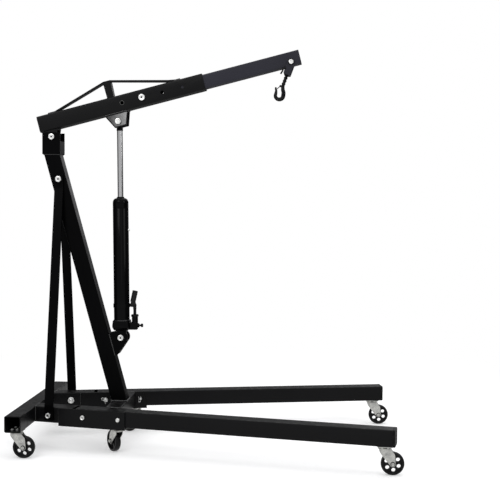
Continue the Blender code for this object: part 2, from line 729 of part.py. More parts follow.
def build_socket():
    """A tube for a bar, on two cheeks that carry it from the hinge and over the plunger."""
    across = Y.cross(ram_dir())
    link = pump_link()
    lean = (ram_dir() * math.cos(SOCKET_LEAN) + across * math.sin(SOCKET_LEAN)).normalized()
    foot = on_ram(SOCKET_UP, CYLINDER_R + SOCKET_OUT)
    v = lean.cross(Y)
    rings = []
    for radius in (SOCKET_R, SOCKET_R - 0.003):
        rings.append([placed(circle(radius, 16), foot + lean * d, Y, v) for d in (0.0, SOCKET_LENGTH)])
    socket = pipe(*rings)
    to_pin = PUMP_X - CYLINDER_R - LINK_OUT
    drop = PLUNGER_PIN - LINK_UP
    outline = arc(0, 0, 0.0065, 130, 270, 4) + arc(to_pin, drop, 0.0065, 270, 390, 4)
    outline += [(to_pin, SOCKET_UP - LINK_UP + 0.006), (0.000, SOCKET_UP - LINK_UP + 0.004)]
    cheeks = [prism(outline, link, across, ram_dir(), *sorted((k * 0.0045, k * 0.0080))) for k in (-1, 1)]
    drive = on_ram(PLUNGER_PIN, PUMP_X)
    pins = [rod(p - Y * 0.010, p + Y * 0.010, 0.003, 10) for p in (drive, link)]
    union(socket, *cheeks, *pins)
    finish(socket, "pump_socket", "ram_paint", link)


def build_pump_bracket():
    """The band on the barrel whose lug holds the socket's hinge."""
    across = Y.cross(ram_dir())
    link = pump_link()
    root = -LINK_OUT + 0.0015
    outline = [(root, -0.007)] + arc(0, 0, 0.0062, -90, 90, 6) + [(root, 0.0062)]
    lug = prism(outline, link, across, ram_dir(), -0.004, 0.004)
    rings = []
    ends = (on_ram(LINK_UP - 0.009), on_ram(LINK_UP + 0.007))
    for radius in (CYLINDER_R + 0.0025, CYLINDER_R + GAP):
        rings.append([placed(circle(radius, 20), end, Y, across) for end in ends])
    band = pipe(*rings)
    union(band, lug)
    cut(band, hole(link, Y, 0.003 + RUNNING, 0.02))
    finish(band, "pump_bracket", "ram_paint", RAM_FOOT)


def build_knob():
    across = Y.cross(ram_dir())
    start = on_ram(BASE_BLOCK_LOW + 0.018, PUMP_X + 0.018 + GAP)
    sizes = [(0.0, 0.008), (0.004, 0.008), (0.004, 0.004), (0.008, 0.004), (0.008, 0.0075), (0.016, 0.0065)]
    layers = [(d, circle(r, 12)) for d, r in sizes]
    knob = stack(start, across, Y, layers)
    finish(knob, "release_knob", "bolt_zinc", start)


# ---------------------------------------------------------------- hook
def hook_pin():
    return on_boom(EXTENSION_TIP - HOOK_PIN_BACK, boom_mid() - EXTENSION_TUBE / 2 + HOOK_PIN_RISE)


def hook_down():
    return Vector((-math.sin(HOOK_TILT), 0, -math.cos(HOOK_TILT)))


def hook_side():
    return Vector((-math.cos(HOOK_TILT), 0, math.sin(HOOK_TILT)))


def build_clevis():
    down, left = hook_down(), hook_side()
    pin = hook_pin()
    half = EXTENSION_TUBE / 2 + 0.0005
    w = CLEVIS_WIDTH / 2
    outline = arc(0, 0, w, 180, 360, 8) + [(w, CLEVIS_DROP), (-w, CLEVIS_DROP)]
    outer = half + CLEVIS_WALL
    clevis = prism(outline, pin, left, down, -outer, outer)
    inside = block(
        pin + down * (CLEVIS_DROP - 0.006 - 0.05), left, Y, down, (0.1, 2 * half, 0.1)
    )
    shank = rod(pin + down * 0.02, pin + down * 0.08, HOOK_SHANK_R + RUNNING)
    cut(clevis, inside, shank, hole(pin, Y, HOOK_PIN_R + GAP, 0.1))
    finish(clevis, "hook_clevis", "extension_paint", pin)
    bolt("hook_pin", pin, Y, outer, HOOK_PIN_R, pivot=pin)


def hook_path():
    """(sideways, up) from the bowl's centre, with the bar's radius."""
    neck = BOWL_DROP - CLEVIS_DROP
    r = HOOK_SHANK_R
    path = [(0, neck + 0.016, r * 1.0), (0, neck + 0.0155, r * 1.7), (0, neck + 0.0065, r * 1.7)]
    path += [(0, neck + 0.0064, r), (0, neck - 0.004, r), (0, neck - 0.006, r * 1.35)]
    path += [(0, neck - 0.014, r * 1.35), (0, neck - 0.018, r * 0.95), (0, 0.046, r * 0.95)]
    path += [(-0.001, 0.036, r), (-0.006, 0.027, r * 1.05), (-0.012, 0.018, r * 1.1)]
    for k in range(0, 9):
        turn = math.radians(155 + k * 27)
        path.append((BOWL_R * math.cos(turn), BOWL_R * math.sin(turn), r * (1.15 - 0.004 * k * k)))
    path += [(BOWL_R + 0.005, 0.016, r * 0.72), (BOWL_R + 0.0085, 0.0255, r * 0.5)]
    return path


def build_hook():
    down, left = hook_down(), hook_side()
    up = -down
    centre = hook_pin() + down * BOWL_DROP
    path = hook_path()
    spine = [centre + left * a + up * b for a, b, _ in path]
    rings = []
    for k, (point, (_, _, radius)) in enumerate(zip(spine, path)):
        ahead = spine[min(k + 1, len(spine) - 1)]
        behind = spine[max(k - 1, 0)]
        along = (ahead - behind).normalized()
        rings.append(placed(circle(radius, 10), point, Y, along.cross(Y).normalized()))
    finish(loft(rings), "hook", "hook_steel", hook_pin() + down * CLEVIS_DROP)


def build_latch():
    """A strip across the throat, from a small hinge beside the neck to inside the tip."""
    down, left = hook_down(), hook_side()
    up = -down
    centre = hook_pin() + down * BOWL_DROP
    start = centre + left * (HOOK_SHANK_R + 0.0035) + up * 0.038
    end = centre + left * (BOWL_R + 0.0025) + up * 0.0215
    along = (end - start).normalized()
    square = along.cross(Y)
    length = (end - start).length
    outline = arc(0, 0, 0.0028, 90, 270, 6) + [(length, -0.0009), (length, 0.0009)]
    latch = prism(outline, start, along, square, -0.004, 0.004)
    finish(latch, "hook_latch", "bolt_zinc", start)


# ---------------------------------------------------------------- casters
def caster_plate(top):
    """A square plate with its race and stem; the swivel axis is its centre."""
    outline = rounded(PLATE_SIZE, PLATE_SIZE, 0.006, 1)
    plate = stack(Vector((0, 0, top - CASTER_PLATE)), Z, X, [(0, outline), (CASTER_PLATE, outline)])
    race = circle(0.021, 12)
    stem = circle(0.006, 12)
    layers = [(CASTER_PLATE - EMBED, race), (0.0065, race), (0.0065, stem), (0.016, stem)]
    return union(plate, stack(Vector((0, 0, top)), -Z, X, layers))


def caster_fork(top):
    """A crown and two cheeks raked back to the axle, for a wheel trailing along +X."""
    hub = Vector((CASTER_TRAIL, 0, WHEEL_D / 2))
    inner = WHEEL_WIDTH / 2 + 0.0015
    outer = inner + FORK_WALL
    crown_top = top - 0.0065 - RUNNING
    crown_low = top - 0.0135 + RUNNING
    crown = rod(Vector((0, 0, crown_low)), Vector((0, 0, crown_top)), 0.024, 16)
    outline = [(-0.020, crown_top), (-0.021, crown_low - 0.008)]
    outline += [(hub.x - 0.010, hub.z - 0.004)] + arc(hub.x, hub.z, 0.011, 200, 360, 4)
    outline += [(0.030, crown_low - 0.012), (0.022, crown_top)]
    cheeks = [prism(outline, Vector(), X, Z, *sorted((k * inner, k * outer))) for k in (-1, 1)]
    nut, pin = circle(0.008, 12), circle(AXLE_R, 12)
    reach = outer - EMBED
    layers = [(-outer - 0.004, nut), (-reach, nut), (-reach, pin)]
    layers += [(reach, pin), (reach, nut), (outer + 0.004, nut)]
    axle = stack(hub, Y, X, layers)
    union(crown, *cheeks, axle)
    return cut(crown, rod(Vector((0, 0, top)), Vector((0, 0, crown_low - 0.01)), 0.006 + RUNNING, 12))


def caster_wheel():
    """The tyre, a web with six holes and a hub, spinning about Y at the axle."""
    r, w = WHEEL_D / 2, WHEEL_WIDTH / 2
    profile = [(-w, 0.012), (-w * 0.45, 0.014), (-w * 0.45, r * 0.77), (-w, r * 0.84), (-w * 0.5, r)]
    profile += [(-y, d) for y, d in profile[::-1]]
    rings = [placed(circle(d, 24), Y * y, Z, X) for y, d in profile]
    bore = [placed(circle(AXLE_R + RUNNING, 24), Y * y, Z, X) for y in (-w, w)]
    wheel = pipe(rings, bore)
    holes = []
    for k in range(6):
        turn = math.radians(60 * k + 37.5)
        out = Vector((math.cos(turn), 0, math.sin(turn)))
        outline = placed(circle(0.17 * r, 8), out * (0.56 * r), out, Y.cross(out))
        holes.append(loft([[p + Y * reach for p in outline] for reach in (-0.03, 0.03)]))
    return cut(wheel, *holes)


def build_casters():
    top = UNDERSIDE - GAP
    pocket_top = pocket_low() - GAP
    spots = {}
    for label, side in SIDES.items():
        spots["rear_" + label] = (Vector((BASE_TUBE / 2, side * REAR_CASTER_Y, 0)), top, 0.0)
        spots["front_" + label] = (on_rail(side, LEG_REACH - FRONT_INSET, 0, 0), top, 0.0)
        heading = MID_HEADING if side < 0 else -MID_HEADING
        spots["middle_" + label] = (on_rail(side, MID_STATION, -MID_INSET, 0), pocket_top, heading)
    wheel = caster_wheel()
    for label, (spot, height, heading) in spots.items():
        turn = Matrix.Rotation(heading, 4, "Z")
        place = Matrix.Translation(spot) @ turn
        for name, piece in (("plate", caster_plate(height)), ("fork", caster_fork(height))):
            piece.data.transform(place)
            finish(piece, f"caster_{name}_{label}", "caster_zinc", spot + Z * height)
        hub = place @ Vector((CASTER_TRAIL, 0, WHEEL_D / 2))
        copy = bpy.data.objects.new("piece", wheel.data.copy())
        bpy.context.scene.collection.objects.link(copy)
        copy.data.transform(turn)
        copy.data.transform(Matrix.Translation(hub))
        finish(copy, f"caster_wheel_{label}", "wheel_black", hub)
    bpy.data.objects.remove(wheel)


def centre_over_origin():
    """Moves the crane so that the middle of its length stands over the origin."""
    wheel_front = on_rail(1, LEG_REACH - FRONT_INSET).x + CASTER_TRAIL + WHEEL_D / 2
    leg_front = on_rail(1, LEG_REACH, -BASE_TUBE / 2).x
    boom_front = on_boom(EXTENSION_TIP, boom_mid() - EXTENSION_TUBE / 2).x
    for made in bpy.context.scene.objects:
        made.location.x -= max(wheel_front, leg_front, boom_front) / 2


def main():
    for old in list(bpy.data.objects):
        bpy.data.objects.remove(old)
    material("base_paint", (0.018, 0.018, 0.019), 0.0, 0.32)
    material("mast_paint", (0.012, 0.012, 0.013), 0.0, 0.32)
    material("boom_paint", (0.018, 0.018, 0.019), 0.0, 0.35)
    material("extension_paint", (0.030, 0.030, 0.042), 0.0, 0.4)
    material("ram_paint", (0.014, 0.014, 0.015), 0.0, 0.3)
    material("rod_chrome", (0.80, 0.80, 0.82), 1.0, 0.12)
    material("bolt_zinc", (0.72, 0.72, 0.70), 1.0, 0.35)
    material("hook_steel", (0.02, 0.02, 0.02), 0.6, 0.4)
    material("caster_zinc", (0.70, 0.69, 0.64), 1.0, 0.35)
    material("wheel_black", (0.012, 0.012, 0.014), 0.0, 0.5)
    build_beam()
    build_crossmember()
    for label, side in SIDES.items():
        build_rail(label, side)
        build_pocket(label, side)
        build_leg(label, side)
        build_base_bolts(label, side)
        build_brace(label, side)
    build_mast()
    build_head()
    build_brace_top_bolt()
    build_ram_bracket()
    build_boom()
    build_pivot_lug()
    build_ram_lug()
    build_truss()
    build_extension()
    build_cylinder()
    build_ram_rod()
    build_ram_base()
    build_plunger()
    build_socket()
    build_pump_bracket()
    build_knob()
    build_clevis()
    build_hook()
    build_latch()
    build_casters()
    centre_over_origin()


main()
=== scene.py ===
"""Looks of the folding workshop crane: paint, plating, hardware, wheels, hook, welds and a plain studio."""
import json
import math

import bmesh
import bpy
from mathutils import Matrix, Vector


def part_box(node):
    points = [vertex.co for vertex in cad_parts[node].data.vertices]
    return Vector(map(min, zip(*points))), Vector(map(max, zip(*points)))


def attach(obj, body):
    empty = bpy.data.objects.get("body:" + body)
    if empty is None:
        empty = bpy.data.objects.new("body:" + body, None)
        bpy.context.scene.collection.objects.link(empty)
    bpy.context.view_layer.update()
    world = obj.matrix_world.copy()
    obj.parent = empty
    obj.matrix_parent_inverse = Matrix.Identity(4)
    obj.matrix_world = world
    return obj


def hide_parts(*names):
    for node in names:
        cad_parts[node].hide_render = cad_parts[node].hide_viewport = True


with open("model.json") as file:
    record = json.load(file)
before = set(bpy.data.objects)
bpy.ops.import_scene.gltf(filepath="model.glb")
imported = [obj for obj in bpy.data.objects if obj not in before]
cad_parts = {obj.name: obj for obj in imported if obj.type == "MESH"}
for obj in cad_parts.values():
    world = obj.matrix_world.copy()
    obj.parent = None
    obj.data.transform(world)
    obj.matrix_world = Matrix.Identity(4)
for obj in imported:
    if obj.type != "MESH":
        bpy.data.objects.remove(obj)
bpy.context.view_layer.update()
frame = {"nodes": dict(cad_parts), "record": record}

X = Vector((1, 0, 0))
Y = Vector((0, 1, 0))
Z = Vector((0, 0, 1))
SIDES = {"right": -1, "left": 1}

# ---- sizes shared with the solids, in metres
SPLAY = math.radians(11.5)
RAIL_ROOT = 0.1226
POCKET_REAR = 0.181
POCKET_HALF = 0.0383
LEG_REACH = 1.550
TUBE = 0.066
WALL = 0.004
BASE_BOLT_R = 0.007
LEG_BOLT_R = 0.006
MAST_BOLT_R = 0.008
MAST_TUBE = 0.065
MAST_LEAN = math.radians(15.5)
BOOM_ANGLE = math.radians(14.5)
BOOM_TUBE = 0.069
BOOM_SEAT = 0.029
HOLE_FIRST = 0.323
EXTENSION_TUBE = 0.058
HOOK_TILT = math.radians(20)
HOOK_PIN_R = 0.006
CLEVIS_DROP = 0.054
CLEVIS_WIDTH = 0.030
BOWL_DROP = 0.143
BOWL_R = 0.0165
SHANK_R = 0.0055
CYLINDER_R = 0.033
ROD_R = 0.012
BLOCK_TOP = 0.071
SHOULDER = 0.570
CAP_RISE = 0.022
WHEEL_R = 0.0445
WHEEL_HALF = 0.012
TRAIL = 0.030
MID_HEADING = math.radians(128)
PLATE_BOLT_X = 0.0105
PLATE_BOLT_Y = 0.0222


def middle(node):
    low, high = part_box(node)
    return (low + high) / 2


REAR_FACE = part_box("rear_crossbeam")[0].x
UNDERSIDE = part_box("rear_crossbeam")[0].z
BASE_TOP = UNDERSIDE + TUBE
BASE_MID = UNDERSIDE + TUBE / 2
BOOM_PIVOT = middle("boom_pivot_bolt")
MAST_FOOT = middle("front_crossmember")
MAST_FOOT.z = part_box("front_crossmember")[1].z
RAM_FOOT = middle("ram_foot_pin")
RAM_TOP = middle("ram_top_pin")
HOOK_PIN = middle("hook_pin")
BOOM_DIR = Vector((math.cos(BOOM_ANGLE), 0, math.sin(BOOM_ANGLE)))
BOOM_UP = Vector((-math.sin(BOOM_ANGLE), 0, math.cos(BOOM_ANGLE)))
MAST_DIR = Vector((-math.sin(MAST_LEAN), 0, math.cos(MAST_LEAN)))
MAST_FRONT = Vector((math.cos(MAST_LEAN), 0, math.sin(MAST_LEAN)))
RAM_DIR = (RAM_TOP - RAM_FOOT).normalized()
RAM_OUT = Y.cross(RAM_DIR)
HOOK_DOWN = Vector((-math.sin(HOOK_TILT), 0, -math.cos(HOOK_TILT)))
HOOK_SIDE = Vector((-math.cos(HOOK_TILT), 0, math.sin(HOOK_TILT)))


def rail_dir(side):
    return Vector((math.cos(SPLAY), side * math.sin(SPLAY), 0))


def rail_out(side):
    return Vector((-math.sin(SPLAY), side * math.cos(SPLAY), 0))


def on_rail(side, station, out=0.0, z=BASE_MID):
    return Vector((REAR_FACE, side * RAIL_ROOT, z)) + rail_dir(side) * station + rail_out(side) * out


def on_boom(along, square, y=0.0):
    return BOOM_PIVOT + BOOM_DIR * along + BOOM_UP * square + Y * y


def on_ram(along, square=0.0):
    return RAM_FOOT + RAM_DIR * along + RAM_OUT * square


def mast_axis(z):
    return MAST_FOOT + MAST_DIR * ((z - MAST_FOOT.z) / MAST_DIR.z)


# ---- outlines and meshes
MERGE = 2e-5
THINNEST = 1e-5


def polar(turn, radius):
    return radius * math.cos(turn), radius * math.sin(turn)


def circle(radius, steps=48):
    return [polar(2 * math.pi * k / steps, radius) for k in range(steps)]


def arc(cx, cy, radius, start, end, steps=8):
    """Points on an arc, angles in degrees."""
    turns = [math.radians(start + (end - start) * k / steps) for k in range(steps + 1)]
    return [(cx + a, cy + b) for a, b in (polar(turn, radius) for turn in turns)]


def rounded(width, height, radius):
    x, y = width / 2 - radius, height / 2 - radius
    outline = []
    for cx, cy, start in ((x, y, 0), (-x, y, 90), (-x, -y, 180), (x, -y, 270)):
        outline += arc(cx, cy, radius, start, start + 90, 6)
    return outline


def hexagon(across, limit, steps=48):
    """A hexagon whose corners are cut back to a circle of radius limit."""
    outline = []
    for k in range(steps):
        turn = 2 * math.pi * k / steps
        off = (turn + math.pi / 6) % (math.pi / 3) - math.pi / 6
        size = min(across / 2 / math.cos(off), limit)
        outline.append(polar(turn, size))
    return outline


def placed(outline, centre, u, v):
    return [centre + u * a + v * b for a, b in outline]


def mesh_of(rings, closed=False):
    """(points, faces) through rings of equal length."""
    count = len(rings[0])
    points = [p for ring in rings for p in ring]
    faces = []
    spans = len(rings) if closed else len(rings) - 1
    for k in range(spans):
        n = (k + 1) % len(rings)
        for i in range(count):
            j = (i + 1) % count
            faces.append([k * count + i, k * count + j, n * count + j, n * count + i])
    if not closed:
        faces.append(list(range(count))[::-1])
        faces.append(list(range(len(points) - count, len(points))))
    return points, faces


def linked(name, data):
    """A new object in the scene."""
    made = bpy.data.objects.new(name, data)
    bpy.context.scene.collection.objects.link(made)
    return made


def make(name, *meshes):
    """One object from (points, faces) lists, with its faces turned outwards."""
    points, faces = [], []
    for some_points, some_faces in meshes:
        start = len(points)
        points += [tuple(p) for p in some_points]
        faces += [[start + i for i in face] for face in some_faces]
    mesh = bpy.data.meshes.new(name)
    mesh.from_pydata(points, [], faces)
    work = bmesh.new()
    work.from_mesh(mesh)
    bmesh.ops.recalc_face_normals(work, faces=work.faces)
    work.to_mesh(mesh)
    work.free()
    return linked(name, mesh)


def layered(origin, along, u, layers, closed=False):
    """A solid through (distance, outline) layers, or a ring when the layers close on themselves."""
    v = along.cross(u)
    return mesh_of([placed(outline, origin + along * d, u, v) for d, outline in layers], closed)


def lathe(origin, along, profile, steps=48, u=None):
    """A turned solid through (distance, radius) steps, closed at both ends."""
    layers = [(d, circle(max(r, THINNEST), steps)) for d, r in profile]
    return layered(origin, along, u or along.orthogonal().normalized(), layers)


def ring_lathe(origin, along, profile, steps=48):
    """A turned ring: the profile is a closed loop of (distance, radius)."""
    layers = [(d, circle(r, steps)) for d, r in profile]
    return layered(origin, along, along.orthogonal().normalized(), layers, closed=True)


def prism(outline, origin, u, v, low, high):
    return layered(origin, u.cross(v), u, [(low, outline), (high, outline)])


def spline(t, p, q, r, w):
    """The value at t between q and r on a Catmull-Rom curve."""
    bend = (2 * p - 5 * q + 4 * r - w) * t * t + (3 * q - p - 3 * r + w) * t ** 3
    return 0.5 * (2 * q + (r - p) * t + bend)


def curve_through(points, steps=6):
    """A smooth line through the points, whatever their number of values each."""
    ends = [points[0]] + list(points) + [points[-1]]
    line = []
    for k in range(1, len(ends) - 2):
        a, b, c, d = ends[k - 1:k + 3]
        for s in range(steps):
            t = s / steps
            line.append(tuple(spline(t, *values) for values in zip(a, b, c, d)))
    line.append(tuple(points[-1]))
    return line


def wire(points, radius, steps=10, up=Y):
    """A round bar along a line of points; radius is one number or one per point."""
    rings = []
    for k, point in enumerate(points):
        ahead = points[min(k + 1, len(points) - 1)]
        behind = points[max(k - 1, 0)]
        along = (ahead - behind).normalized()
        side = up.cross(along)
        if side.length < 0.05:
            side = along.orthogonal()
        side.normalize()
        size = radius[k] if isinstance(radius, (list, tuple)) else radius
        rings.append(placed(circle(size, steps), point, side, along.cross(side)))
    return mesh_of(rings)


def helix(origin, along, radius, pitch, turns, steps=14):
    u = along.orthogonal().normalized()
    v = along.cross(u)
    line = []
    for k in range(int(turns * steps) + 1):
        a, b = polar(2 * math.pi * k / steps, radius)
        line.append(origin + along * (pitch * k / steps) + u * a + v * b)
    return line


def shade(made, sharp=38):
    """Smooth faces, with every edge steeper than this many degrees kept sharp."""
    work = bmesh.new()
    work.from_mesh(made.data)
    for face in work.faces:
        face.smooth = True
    for edge in work.edges:
        edge.smooth = len(edge.link_faces) == 2 and edge.calc_face_angle(0) < math.radians(sharp)
    work.to_mesh(made.data)
    work.free()
    return made


def soften(made, width, sharp=28, segments=2):
    """Rounds the edges steeper than this many degrees, then shades the result."""
    work = bmesh.new()
    work.from_mesh(made.data)
    bmesh.ops.remove_doubles(work, verts=work.verts, dist=MERGE)
    bmesh.ops.dissolve_limit(work, angle_limit=math.radians(0.5), verts=work.verts, edges=work.edges)
    limit = math.radians(sharp)
    steep = [e for e in work.edges if len(e.link_faces) == 2 and e.calc_face_angle(0) > limit]
    bmesh.ops.bevel(
        work, geom=steep, offset=width, offset_type="OFFSET", segments=segments, profile=0.5,
        affect="EDGES", clamp_overlap=True,
    )
    work.to_mesh(made.data)
    work.free()
    shade(made)
    made.modifiers.new("weighted", "WEIGHTED_NORMAL").keep_sharp = True
    return made


def carve(made, *cutters):
    """Cuts objects out of another and bakes the result."""
    for cutter in cutters:
        modifier = made.modifiers.new("cut", "BOOLEAN")
        modifier.operation = "DIFFERENCE"
        modifier.solver = "EXACT"
        modifier.object = cutter
    bpy.context.view_layer.update()
    graph = bpy.context.evaluated_depsgraph_get()
    mesh = bpy.data.meshes.new_from_object(made.evaluated_get(graph))
    made.modifiers.clear()
    made.data = mesh
    for cutter in cutters:
        bpy.data.objects.remove(cutter)
    return made


# ---- materials
class Graph:
    """Short calls for a node tree."""

    def __init__(self, tree):
        self.tree = tree

    def add(self, kind, **settings):
        made = self.tree.nodes.new("ShaderNode" + kind)
        for key, value in settings.items():
            setattr(made, key, value)
        return made

    def put(self, value, socket):
        """Links a node's output to a socket, or writes a plain value into it."""
        if isinstance(value, bpy.types.NodeSocket):
            self.tree.links.new(value, socket)
        else:
            socket.default_value = value

    def parts_of(self, vector):
        made = self.add("SeparateXYZ")
        self.put(vector, made.inputs[0])
        return made.outputs

    def ranged(self, value, low, high, to_low, to_high):
        made = self.add("MapRange")
        ends = (("From Min", low), ("From Max", high), ("To Min", to_low), ("To Max", to_high))
        for name, number in ends:
            made.inputs[name].default_value = number
        self.put(value, made.inputs["Value"])
        return made.outputs["Result"]

    def math(self, operation, first, second):
        made = self.add("Math", operation=operation)
        self.put(first, made.inputs[0])
        self.put(second, made.inputs[1])
        return made.outputs[0]

    def mixed(self, factor, first, second):
        made = self.add("MixShader")
        for value, socket in zip((factor, first, second), made.inputs):
            self.put(value, socket)
        return made.outputs[0]


class Nodes(Graph):
    """The node tree of a new material."""

    def __init__(self, name):
        self.material = bpy.data.materials.new(name)
        self.material.use_nodes = True
        super().__init__(self.material.node_tree)
        self.shader = self.tree.nodes["Principled BSDF"]
        self.place = self.add("TexCoord").outputs["Object"]

    def surface(self, name, value):
        self.put(value, self.shader.inputs[name])

    def noise(self, scale, detail=2.0, stretch=(1, 1, 1)):
        mapping = self.add("Mapping")
        mapping.inputs["Scale"].default_value = stretch
        self.put(self.place, mapping.inputs["Vector"])
        made = self.add("TexNoise")
        made.inputs["Scale"].default_value = scale
        made.inputs["Detail"].default_value = detail
        self.put(mapping.outputs["Vector"], made.inputs["Vector"])
        return made.outputs["Fac"]

    def blend(self, factor, first, second):
        made = self.add("Mix", data_type="RGBA")
        self.put(factor, made.inputs[0])
        for colour, socket in ((first, made.inputs[6]), (second, made.inputs[7])):
            self.put((*colour, 1) if isinstance(colour, tuple) else colour, socket)
        return made.outputs[2]

    def bump(self, height, strength, distance):
        made = self.add("Bump")
        made.inputs["Strength"].default_value = strength
        made.inputs["Distance"].default_value = distance
        self.put(height, made.inputs["Height"])
        self.surface("Normal", made.outputs["Normal"])


DUST = (0.085, 0.083, 0.080)
SCUFF = (0.045, 0.044, 0.042)


def grey(level):
    return (level, level, level)


def scaled(colour, factor):
    return tuple(c * factor for c in colour)


def paint(name, colour, roughness, level, coat=0.0):
    """Black enamel over steel: fine orange peel, cloudy gloss, settled dust and rubbed patches."""
    n = Nodes(name)
    cloud = n.noise(9, 4)
    drift = n.noise(2.3, 3)
    base = n.blend(n.ranged(drift, 0.35, 0.65, 0, 1), scaled(colour, 0.85), scaled(colour, 1.2))
    facing = n.parts_of(n.add("NewGeometry").outputs["Normal"])
    upward = n.ranged(facing["Z"], 0.6, 1.0, 0, 1)
    dust = n.math("MULTIPLY", upward, n.ranged(n.noise(60, 6), 0.48, 0.75, 0, 0.35))
    n.surface("Base Color", n.blend(dust, base, DUST))
    gloss = n.ranged(cloud, 0.3, 0.7, roughness - 0.045, roughness + 0.06)
    rubbed = n.ranged(n.noise(38, 8, (1, 1, 0.25)), 0.56, 0.72, 0, 0.14)
    n.surface("Roughness", n.math("ADD", gloss, rubbed))
    n.surface("Specular IOR Level", level)
    n.surface("Coat Weight", coat)
    n.surface("Coat Roughness", 0.12)
    peel = n.math("ADD", n.noise(420, 2), n.math("MULTIPLY", n.noise(60, 2), 0.8))
    n.bump(peel, 0.10, 0.0006)
    return n.material


def plated(name, colour, roughness, tint, grain=(1, 1, 1), spotted=0.45):
    """Plated or blackened steel: cloudy sheen, faint colour cast, darker spots, fine scratches."""
    n = Nodes(name)
    cloud = n.noise(55, 4)
    base = n.blend(n.ranged(cloud, 0.35, 0.7, 0, 1), colour, tint)
    spots = n.ranged(n.noise(240, 5), 0.56, 0.72, 0, spotted)
    n.surface("Base Color", n.blend(spots, base, scaled(colour, 0.45)))
    n.surface("Metallic", 1.0)
    scratch = n.noise(900, 3, grain)
    sheen = n.ranged(cloud, 0.3, 0.7, roughness - 0.06, roughness + 0.08)
    n.surface("Roughness", n.math("ADD", sheen, n.ranged(scratch, 0.4, 0.7, 0, 0.08)))
    n.bump(scratch, 0.06, 0.0003)
    return n.material


def moulded(name, colour, roughness, level, dusty=0.4):
    """Hard plastic: fine moulded grain with scuffs that catch pale dust."""
    n = Nodes(name)
    scuff = n.ranged(n.noise(75, 8), 0.52, 0.72, 0, dusty)
    tone = n.blend(n.ranged(n.noise(14, 3), 0.35, 0.65, 0, 1), scaled(colour, 0.8), scaled(colour, 1.3))
    n.surface("Base Color", n.blend(scuff, tone, SCUFF))
    n.surface("Roughness", n.math("ADD", n.math("MULTIPLY", scuff, 0.35), roughness))
    n.surface("Specular IOR Level", level)
    n.bump(n.noise(350, 3), 0.18, 0.0004)
    return n.material


def steel_with_painted_highlight(name, highlight_start_x, highlight_peak_x):
    """Steel plate whose colour goes from dark to bright along x as a painted highlight, with cloudy wear and
    fine scratches.
    """
    n = Nodes(name)
    cloud = n.ranged(n.noise(70, 4), 0.3, 0.7, -0.14, 0.14)
    # painted highlight: the colour brightens along x where a light's reflection falls
    painted_highlight = n.math("ADD", n.ranged(n.parts_of(n.place)["X"], highlight_start_x, highlight_peak_x, 0, 1), cloud)
    n.surface("Base Color", n.blend(painted_highlight, grey(0.05), grey(0.30)))
    n.surface("Metallic", 1.0)
    scratch = n.noise(500, 3, (1, 1, 0.2))
    n.surface("Roughness", n.ranged(scratch, 0.3, 0.7, 0.28, 0.42))
    n.bump(scratch, 0.06, 0.0003)
    return n.material


LOOKS = {
    "base_paint": paint("base_enamel", (0.0030, 0.0030, 0.0034), 0.33, 0.14),
    "mast_paint": paint("mast_enamel", (0.0012, 0.0012, 0.0014), 0.27, 0.03),
    "boom_paint": paint("boom_enamel", (0.0042, 0.0042, 0.0045), 0.36, 0.09),
    "extension_paint": paint("extension_enamel", (0.0130, 0.0130, 0.0200), 0.38, 0.22),
    "ram_paint": paint("ram_enamel", (0.0010, 0.0010, 0.0012), 0.22, 0.02, 0.10),
    "rod_chrome": plated("rod_chrome", grey(0.50), 0.14, (0.45, 0.45, 0.46), (0.2, 0.2, 6), 0.1),
    "bolt_zinc": plated("bolt_zinc", (0.86, 0.86, 0.84), 0.30, (0.74, 0.75, 0.74)),
    "hook_steel": plated("hook_black_oxide", (0.008, 0.008, 0.009), 0.34, (0.022, 0.022, 0.021)),
    "caster_zinc": plated("caster_zinc", (0.70, 0.70, 0.665), 0.30, (0.40, 0.40, 0.39), spotted=0.75),
    "wheel_black": moulded("wheel_nylon", (0.0018, 0.0018, 0.0021), 0.36, 0.20, 0.12),
}
OXIDE = LOOKS["hook_steel"]
WELD_ENAMEL = paint("weld_enamel", (0.0110, 0.0110, 0.0115), 0.24, 0.60)
CAP_PLASTIC = moulded("cap_plastic", (0.0020, 0.0020, 0.0022), 0.5, 0.12)
PUMP_ENAMEL = paint("pump_enamel", (0.0016, 0.0016, 0.0018), 0.16, 0.22)
# a lighter steel for the painted glint round the boom's open hole
RIM_GLINT_STEEL = plated("rim_glint_steel", grey(0.11), 0.42, (0.16, 0.16, 0.15))


# ---- pieces on their bodies
BODY_OF = {n: b for b, nodes in frame["record"]["behaviour"]["bodies"].items() for n in nodes}
SLOT_OF = {part["node"]: part["material_slot"] for part in frame["record"]["subparts"]}


def dressed(made, body, slot, stands_for=(), look=None):
    """Gives a piece its material, its own look or else the one for its slot, puts it on its body and hides
    the solids it stands for.
    """
    made.data.materials.clear()
    made.data.materials.append(look or LOOKS[slot])
    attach(made, body)
    if stands_for:
        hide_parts(*stands_for)
    return made


def piece(name, meshes, body, slot, sharp=36, look=None, stands_for=()):
    """A dressed object made of closed meshes."""
    return dressed(shade(make(name, *meshes), sharp), body, slot, stands_for, look)


def copy_of(node, name):
    """A clean mesh with the shape of a CAD node."""
    source = frame["nodes"][node].data
    points = [v.co.copy() for v in source.vertices]
    faces = [list(p.vertices) for p in source.polygons]
    made = make(name, (points, faces))
    work = bmesh.new()
    work.from_mesh(made.data)
    bmesh.ops.remove_doubles(work, verts=work.verts, dist=MERGE)
    bmesh.ops.recalc_face_normals(work, faces=work.faces)
    work.to_mesh(made.data)
    work.free()
    return made


def finished(node, width, look=None):
    """The CAD node itself with its edges rounded."""
    made = soften(copy_of(node, node + "_finished"), width)
    return dressed(made, BODY_OF[node], SLOT_OF[node], [node], look)


